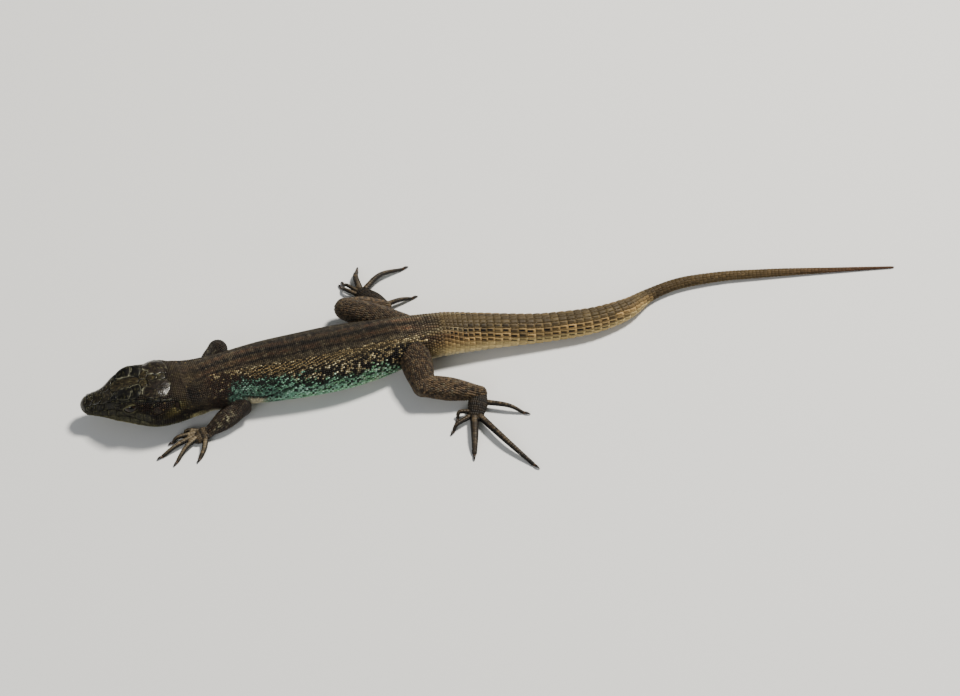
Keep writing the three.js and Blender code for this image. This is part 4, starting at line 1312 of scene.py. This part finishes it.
LID_TONE = mix(HEAD_OLIVE, LABIAL, 0.9) * 1.5
LID_DARK = mix(HEAD_DARK, HEAD_OLIVE, 0.25) * 0.75
# The rings of points of the lids, from their rim: how far out, and their lift.
LID_RINGS = [(-0.04, -0.16), (-0.05, -0.02), (0.0, 0.07), (0.1, 0.1), (0.3, 0.09), (0.6, 0.08), (1.0, 0.05),
             (1.6, 0.0), (2.2, -0.2)]
LID_AROUND = 64
# The rows of granules on them: how far out, a granule's half length, and their number.
LID_ROWS = [(0.16, 0.15, 34), (0.45, 0.17, 34), (0.8, 0.19, 36), (1.18, 0.2, 38), (1.58, 0.21, 40)]


def make_lids(side, sign):
    """The lids of one eye: a smooth rim, and granules where they stand out of the skin."""
    centre = EYES[side]
    outward = unit(head_point(EYE["s"], math.degrees(EYE["angle"]) + 2, sign) - centre)
    forward = head_point(8.3, 72, sign) - head_point(11.9, 61.5, sign)
    lid = Lid(centre, outward, forward, EYE["radius"] + 0.1)
    s_mid, q_mid = EYE["s"], float(body.arc(EYE["s"], math.degrees(EYE["angle"]))) * sign
    out, lift = zip(*LID_RINGS)
    u, q = grid(out, np.linspace(-math.pi, math.pi, LID_AROUND, endpoint=False))
    pale = smooth(0.16, 0.04, u) * smooth(-0.045, 0.0, u) * (0.35 + 0.65 * smooth(-0.3, 0.5, np.sin(q)))
    paint = mix(LID_DARK, LID_TONE, pale * 0.9) * (1 + 0.15 * waves(u, q, 61, 0.5))[:, None]
    uv = uv_at(s_mid + np.cos(q) * (u + 1), q_mid + np.sin(q) * (u + 0.6))
    coats["face"].add(lid.place(u, q, np.repeat(lift, LID_AROUND)), paint, uv,
                      ring_quads(len(LID_RINGS), LID_AROUND), mirrored=sign < 0)
    rows = []
    for k, (out, size, count) in enumerate(LID_ROWS):
        a = (np.arange(count) + 0.5 * (k % 2)) / count * 2 * math.pi - math.pi
        rows.append([np.full(count, out), a, np.full(count, size), np.full(count, math.pi / count * 1.02)])
    u, q, l, w = np.concatenate(rows, axis=1)
    keep = np.zeros(len(u), bool)
    for i, p in enumerate(lid.place(u, q, np.full(len(u), 0.1))):
        where, normal, _, _ = skin_tree.find_nearest(Vector(p))
        keep[i] = (Vector(p) - where).dot(normal) > -0.05
    tint = mix(LID_DARK, LID_TONE, np.where(u < 0.3, 0.3 + 0.4 * (np.sin(q) > 0.2), 0.05))
    tint = tint * rng.uniform(0.75, 1.2, (len(u), 1))
    lay(coats["face"], lid, GRANULE, u, q, l, w, 0.09,
        (tint, np.broadcast_to(DARK, tint.shape), np.full(len(u), 0.3)), -0.11,
        place=uv_at(s_mid, q_mid), keep=keep)
    return lid


lids = {side: make_lids(side, sign) for side, sign in SIDES.items()}

# The nostril, a pit painted dark as shade within a paler ring: the radius, lift and colour of each ring of
# points.
NOSTRIL = [(0.36, -0.05, LABIAL * 0.2), (0.32, 0.0, LABIAL * 0.3), (0.26, 0.02, LABIAL * 0.35),
           (0.21, -0.01, DARK), (0.17, -0.1, BLACK), (0.1, -0.25, BLACK)]
NOSTRIL_AROUND = 24
for sign in SIDES.values():
    radii, lift, colours = zip(*NOSTRIL)
    r, a = grid(radii, np.linspace(0, 2 * math.pi, NOSTRIL_AROUND, endpoint=False))
    s, q = 1.55 + np.cos(a) * r * 0.9, float(body.arc(1.55, 64)) * sign + np.sin(a) * r
    coats["head"].add(body.place(s, q, np.repeat(lift, NOSTRIL_AROUND)),
                      np.repeat(colours, NOSTRIL_AROUND, axis=0), uv_at(s, q),
                      ring_quads(len(NOSTRIL), NOSTRIL_AROUND),
                      [end_rings(len(NOSTRIL), NOSTRIL_AROUND)[1]], sign < 0)

# ---------------------------------------------------------------- scales of the legs


def leg_scales(limb, coat):
    fore = limb["kind"] is FORE
    for number, (part, form, base, size, height) in enumerate((
        ("upper", KEELED if fore else GRANULE, COAT, 0.42 if fore else 0.46, 0.18),
        ("lower", KEELED, COAT, 0.44 if fore else 0.48, 0.19),
        ("paw", GRANULE, PAW_COAT, 0.42, 0.14),
    )):
        surface = limb[part]
        low, high = surface.span
        u, q, l, w = rows_of(surface, low + 0.4, high - 0.3, size * (1.15 if part == "paw" else 0.95), size)
        jitter = rng.normal(0, 0.03, (2, len(u)))
        u, q = u + jitter[0], q + jitter[1]
        share = np.abs(q) / surface.half(u)
        larger = 1 + 0.25 * (share < 0.35) * (part == "lower")
        lay(coat, surface, form, u, q, l * 1.2 * larger, w * 1.02, height,
            leg_marking(u, q, surface, part, fore, share), base, 0, (0.1 + 0.2 * number, 0.1))


# The rows of plates along a digit: their share of the way round, their width, and whether they are
# shifted by half a step.
DIGIT_ROWS = [(0.0, 0.30, False), (0.47, 0.17, True), (-0.47, 0.17, True), (0.84, 0.2, False),
              (-0.84, 0.2, False)]


def digit_scales(limb, coat):
    fore = limb["kind"] is FORE
    step = 0.52 if fore else 0.6
    for k, digit in enumerate(limb["digits"]):
        along = np.arange(0.3, digit.length - 0.15, step)
        half = digit.half(along)
        long = np.full(len(along), step * 0.62)
        rows = [[along + (0.5 * step if shifted else 0), share * half, long, wide * half * 1.05]
                for share, wide, shifted in DIGIT_ROWS]
        u, q, l, w = np.concatenate(rows, axis=1)
        fits = u < digit.length - 0.1
        u, q, l, w = (v[fits] for v in (u, q, l, w))
        colours = leg_marking(u, q, digit, "digit", fore, np.abs(q) / digit.half(u))
        lay(coat, digit, SMOOTH, u, q, l, w, 0.1, colours, DIGIT_COAT, 0, (0.1 + 0.12 * k, 0.8))


for leg, limb in limbs.items():
    leg_scales(limb, coats[leg])
    digit_scales(limb, coats[leg])

# ---------------------------------------------------------------- granules in the folds

BACKWARD = np.array([1.0, 0.15, 0.0])


def lay_flat(coat, form, points, normals, size, height, colours):
    """Small scales on bare skin, each on its own tangent plane, lying back.

    Seen from above, the map shows where they are; those that face down lie beside the rest.
    """
    lie = unit(BACKWARD - normals * (normals @ BACKWARD)[:, None])
    across = np.cross(normals, lie)
    x, y, h = (form[k][None, :, None] for k in ("x", "y", "height"))
    co = points[:, None] + lie[:, None] * x * size + across[:, None] * y * size
    co = co + normals[:, None] * (h * height - 0.02)
    paint = colours[:, None] * form["shade"][None, :, None]
    u = (points[:, 0] + 82) * UV_PER_MM + 0.02
    v = (points[:, 1] + 27) * UV_PER_MM + 0.02 + np.where(normals[:, 2] < 0, 0.3, 0.0)
    uv = np.stack([u[:, None] + form["x"][None] * size * UV_PER_MM,
                   v[:, None] + form["y"][None] * size * UV_PER_MM], 2)
    starts = np.arange(len(points)) * len(form["x"])
    quads = (starts[:, None, None] + form["quads"][None]).reshape(-1, 4)
    coat.add(co.reshape(-1, 3), paint.reshape(-1, 3), uv.reshape(-1, 2), quads)


def nearest_roots():
    """For each point of the skin, the colour at the nearest scale's root and how far off it is."""
    roots = np.concatenate([r for c in coats.values() for r in c.roots])
    colours = np.concatenate([r for c in coats.values() for r in c.root_colours])
    tree = kdtree.KDTree(len(roots))
    for i, p in enumerate(roots):
        tree.insert(p, i)
    tree.balance()
    found = [tree.find(p) for p in skin_co]
    return colours[[k for _, k, _ in found]], np.array([distance for _, _, distance in found])


FOLD_SPACING = 0.42
skin_colours, gap = nearest_roots()
# painted shade: the skin in each ear's hollow darkened
shaded_ear_hollow = in_ear(skin_co, "left", 0.85, 1.25) | in_ear(skin_co, "right", 0.85, 1.25)
skin_colours[shaded_ear_hollow] *= 0.35
taken = {}
fold_points = []
for i in rng.permutation(np.nonzero(gap > FOLD_SPACING)[0]):
    p = skin_co[i]
    x, y, z = (p // FOLD_SPACING).astype(int)
    close = any(
        np.linalg.norm(p - other) < FOLD_SPACING
        for dx in (-1, 0, 1) for dy in (-1, 0, 1) for dz in (-1, 0, 1)
        for other in taken.get((x + dx, y + dy, z + dz), ())
    )
    near_eye = any(np.linalg.norm(p - e) < EYE["radius"] + 0.25 for e in EYES.values())
    if not close and not near_eye and not shaded_ear_hollow[i] and p[2] > 0.06:
        taken.setdefault((x, y, z), []).append(p)
        fold_points.append(i)
fold_points = np.array(fold_points, int)
coats["folds"] = Coat("scales_folds", "skin_legs")
lay_flat(coats["folds"], GRANULE, skin_co[fold_points], unit(skin_normals[fold_points]), 0.24, 0.14,
         np.clip(skin_colours[fold_points] * 1.3, 0, 1))

# ---------------------------------------------------------------- materials


class Look:
    """A material on the Principled shader, and what adds nodes to it."""

    def __init__(self, name):
        self.material = bpy.data.materials.new(name)
        self.material.use_nodes = True
        self.nodes, self.links = self.material.node_tree.nodes, self.material.node_tree.links
        self.shader = self.nodes["Principled BSDF"]

    def feed(self, node, inputs):
        """Sets a node's inputs, each to a number or to another node's output."""
        for name, value in inputs.items():
            if isinstance(value, bpy.types.NodeSocket):
                self.links.new(value, node.inputs[name])
            else:
                node.inputs[name].default_value = value

    def node(self, kind, output, inputs=None, **settings):
        """A new node of the kind, by the output that is wanted from it."""
        node = self.nodes.new("ShaderNode" + kind)
        for name, value in settings.items():
            setattr(node, name, value)
        self.feed(node, inputs or {})
        return node.outputs[output]


def scaly(name, roughness, bump_size, bump_depth, specular=0.5, variation=0.16):
    """The painted marking, broken up by fine mottling, with a dry waxy gloss and fine wrinkles."""
    look = Look(name)
    place = look.node("TexCoord", "Object")
    marking = look.node("Attribute", "Color", attribute_name="marking")

    def noise(size, detail):
        return look.node("TexNoise", "Fac", {"Scale": size, "Detail": detail, "Vector": place})

    def spread(value, low, high):
        return look.node("MapRange", "Result",
                         {"From Min": 0.3, "From Max": 0.7, "To Min": low, "To Max": high, "Value": value})

    mottle = spread(noise(2600, 3), 1 - variation, 1 + variation)
    relief = {"Strength": 0.5, "Distance": bump_depth * MM, "Height": noise(bump_size, 3)}
    look.feed(look.shader, {
        "Base Color": look.node("VectorMath", "Vector", {0: marking, "Scale": mottle}, operation="SCALE"),
        "Roughness": spread(noise(900, 2), roughness - 0.07, roughness + 0.1),
        "Normal": look.node("Bump", "Normal", relief),
        "Specular IOR Level": specular,
    })
    return look.material


head_material = scaly("head_shields", 0.23, 5200, 0.06, specular=0.36, variation=0.4)
slot_materials = {
    "skin_body": scaly("body_scales", 0.5, 7000, 0.02, specular=0.14),
    "skin_tail": scaly("tail_scales", 0.5, 5000, 0.02, specular=0.1),
    "skin_legs": scaly("leg_scales", 0.46, 7000, 0.02, specular=0.18),
}
skin_material = scaly("skin", 0.6, 9000, 0.03, specular=0.12)
# The coat called head has a material of its own, and that of the face has the body's.
for name, coat in coats.items():
    by_slot = slot_materials.get(coat.slot, slot_materials["skin_body"])
    coat.build(head_material if name == "head" else by_slot)

# ---------------------------------------------------------------- the skin as a piece

skin_data.vertices.foreach_set("co", (skin_co * MM).ravel())
paint_points(skin_data, skin_colours)
skin_data.materials.clear()
skin_data.materials.append(skin_material)
skin_data.update()
flesh = ["head", "lower_jaw", "neck", "trunk", "tail_1", "tail_2", "tail_3", "tail_4"]
for leg, limb in limbs.items():
    names = ("upper_arm", "forearm", "hand") if limb["kind"] is FORE else ("thigh", "shank", "foot")
    flesh += [f"{leg}_{name}" for name in names]
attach(skin, "root")
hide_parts(*flesh)

# ---------------------------------------------------------------- eyes, eardrums and claws


def painted_piece(name, co, quads, caps, colours, material, nodes):
    """A piece in place of CAD nodes, from its points, its faces and a colour for each point."""
    mesh = bpy.data.meshes.new(name)
    mesh.from_pydata((co * MM).tolist(), [], quads.tolist() + list(caps))
    mesh.polygons.foreach_set("use_smooth", np.ones(len(mesh.polygons), bool))
    paint_points(mesh, colours)
    mesh.materials.append(material)
    work = bmesh.new()
    work.from_mesh(mesh)
    bmesh.ops.recalc_face_normals(work, faces=work.faces)
    work.to_mesh(mesh)
    work.free()
    piece = add_object(name, mesh)
    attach(piece, "root")
    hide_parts(*nodes)


def round_grid(rings, around, opening):
    """Angles from the pole and round it for a ball's points, whose first and last rings are small."""
    turn = np.linspace(0, 2 * math.pi, around, endpoint=False)
    return grid(np.linspace(opening, math.pi - opening, rings), turn)


eye = Look("eye")
flecks = eye.node("TexNoise", "Fac", {"Scale": 3000, "Vector": eye.node("TexCoord", "Object")})
eye.feed(eye.shader, {
    "Base Color": eye.node("Attribute", "Color", attribute_name="marking"),
    "Roughness": eye.node("MapRange", "Result", {"To Min": 0.05, "To Max": 0.14, "Value": flecks}),
    "Coat Weight": 0.05,
    "Specular IOR Level": 0.2,
    "Coat Roughness": 0.04,
})
IRIS = tone(38, 24, 14)
EYE_RINGS, EYE_AROUND = 60, 56
for side, lid in lids.items():
    p, t = round_grid(EYE_RINGS, EYE_AROUND, 0.004)
    bulge = EYE["radius"] * (1 + 0.035 * smooth(0.75, 0.2, p))
    around = lid.fore * np.cos(t)[:, None] + lid.up * np.sin(t)[:, None]
    co = lid.centre + (lid.out * np.cos(p)[:, None] + around * np.sin(p)[:, None]) * bulge[:, None]
    ring = mix(IRIS * 0.5, IRIS * 1.1, bump(p, 0.37, 0.05))
    ring = ring * (1 + 0.3 * np.sin(t * 23 + 3 * np.sin(t * 7)))[:, None]
    paint = mix(BLACK * 0.5, ring, smooth(0.29, 0.34, p))
    paint = mix(paint, BLACK, smooth(0.66, 0.8, p))
    painted_piece(f"eyeball_{side}", co, ring_quads(EYE_RINGS, EYE_AROUND), end_rings(EYE_RINGS, EYE_AROUND),
                  paint, eye.material, [f"eye_{side}"])

drum_material = scaly("eardrum", 0.6, 6000, 0.02, specular=0.08)
DRUM_RINGS, DRUM_AROUND = 24, 32
for side in SIDES:
    p, t = round_grid(DRUM_RINGS, DRUM_AROUND, 0.01)
    ball = np.stack([np.sin(p) * np.cos(t), np.sin(p) * np.sin(t), np.cos(p)], 1)
    co = (ball * EARDRUM) @ EAR_AXES[side] + EARS[side]
    # painted shade: the drum darkens to black towards its edge, inside the ear's rim
    paint = mix(tone(34, 26, 20), BLACK, smooth(0.6, 1.4, p))
    painted_piece(f"eardrum_{side}", co, ring_quads(DRUM_RINGS, DRUM_AROUND),
                  end_rings(DRUM_RINGS, DRUM_AROUND), paint, drum_material, [f"ear_{side}"])

claw_material = scaly("claw", 0.36, 2500, 0.02, specular=0.25, variation=0.3)
CLAW_RINGS, CLAW_AROUND = 26, 16
for leg, limb in limbs.items():
    co, quads, caps, paint = [], [], [], []
    for claw in limb["claws"]:
        start = sum(map(len, co))
        along = np.linspace(0.0, claw.length - 0.002, CLAW_RINGS)
        points, faces, ends = closed_tube(claw, along, CLAW_AROUND, 0.0)
        points[:, 2] = np.maximum(points[:, 2], 0.01)
        co.append(points)
        quads.append(faces + start)
        caps += [[v + start for v in cap] for cap in ends]
        dark = smooth(0.0, 0.5, np.repeat(along / claw.length, CLAW_AROUND))
        paint.append(mix(tone(70, 52, 38), tone(24, 18, 15), dark))
    painted_piece(f"claws_{leg}", np.concatenate(co), np.concatenate(quads), caps, np.concatenate(paint),
                  claw_material, [f"{leg}_claw_{k}" for k in range(1, 6)])

# ---------------------------------------------------------------- floor, light and camera

FLOOR_Z = -0.00003
floor_mesh = bpy.data.meshes.new("floor")
floor_mesh.from_pydata([(x, y, FLOOR_Z) for x, y in ((-2, -2), (2, -2), (2, 2), (-2, 2))], [], [(0, 1, 2, 3)])
floor = add_object("floor", floor_mesh)
floor_look = Look("floor")
floor_look.feed(floor_look.shader, {"Base Color": (0.62, 0.62, 0.61, 1), "Roughness": 0.9})
floor_mesh.materials.append(floor_look.material)

world = bpy.data.worlds.new("studio")
world.use_nodes = True
background = world.node_tree.nodes["Background"]
background.inputs["Color"].default_value = (0.92, 0.96, 1.0, 1)
background.inputs["Strength"].default_value = 0.26
bpy.context.scene.world = world

AIM = Vector((-0.0038, 0.0044, 0.0))
CAMERA_ELEVATION = math.radians(50)
CAMERA_DISTANCE = 0.5333


def lamp(name, azimuth, elevation, distance, size, power, colour):
    """An area light over the part, facing it. azimuth turns from +X towards +Y, in degrees."""
    data = bpy.data.lights.new(name, "AREA")
    data.energy, data.size, data.color = power, size, colour
    light = add_object(name, data)
    a, e = math.radians(azimuth), math.radians(elevation)
    towards = Vector((math.cos(a) * math.cos(e), math.sin(a) * math.cos(e), math.sin(e)))
    light.location = AIM + towards * distance
    light.rotation_euler = (AIM - light.location).to_track_quat("-Z", "Y").to_euler()


lamp("key", 40, 60, 0.8, 0.14, 14.5, (1.0, 0.96, 0.88))
lamp("fill", -115, 30, 0.9, 0.4, 3.4, (0.96, 0.98, 1.0))

camera_data = bpy.data.cameras.new("camera")
camera_data.lens = 100
camera_data.sensor_width = 36
camera_data.clip_start = 0.01
camera_data.clip_end = 10
camera = add_object("camera", camera_data)
towards = Vector((0, -math.cos(CAMERA_ELEVATION), math.sin(CAMERA_ELEVATION)))
camera.location = AIM + towards * CAMERA_DISTANCE
camera.rotation_euler = (math.pi / 2 - CAMERA_ELEVATION, 0, 0)
bpy.context.scene.camera = camera
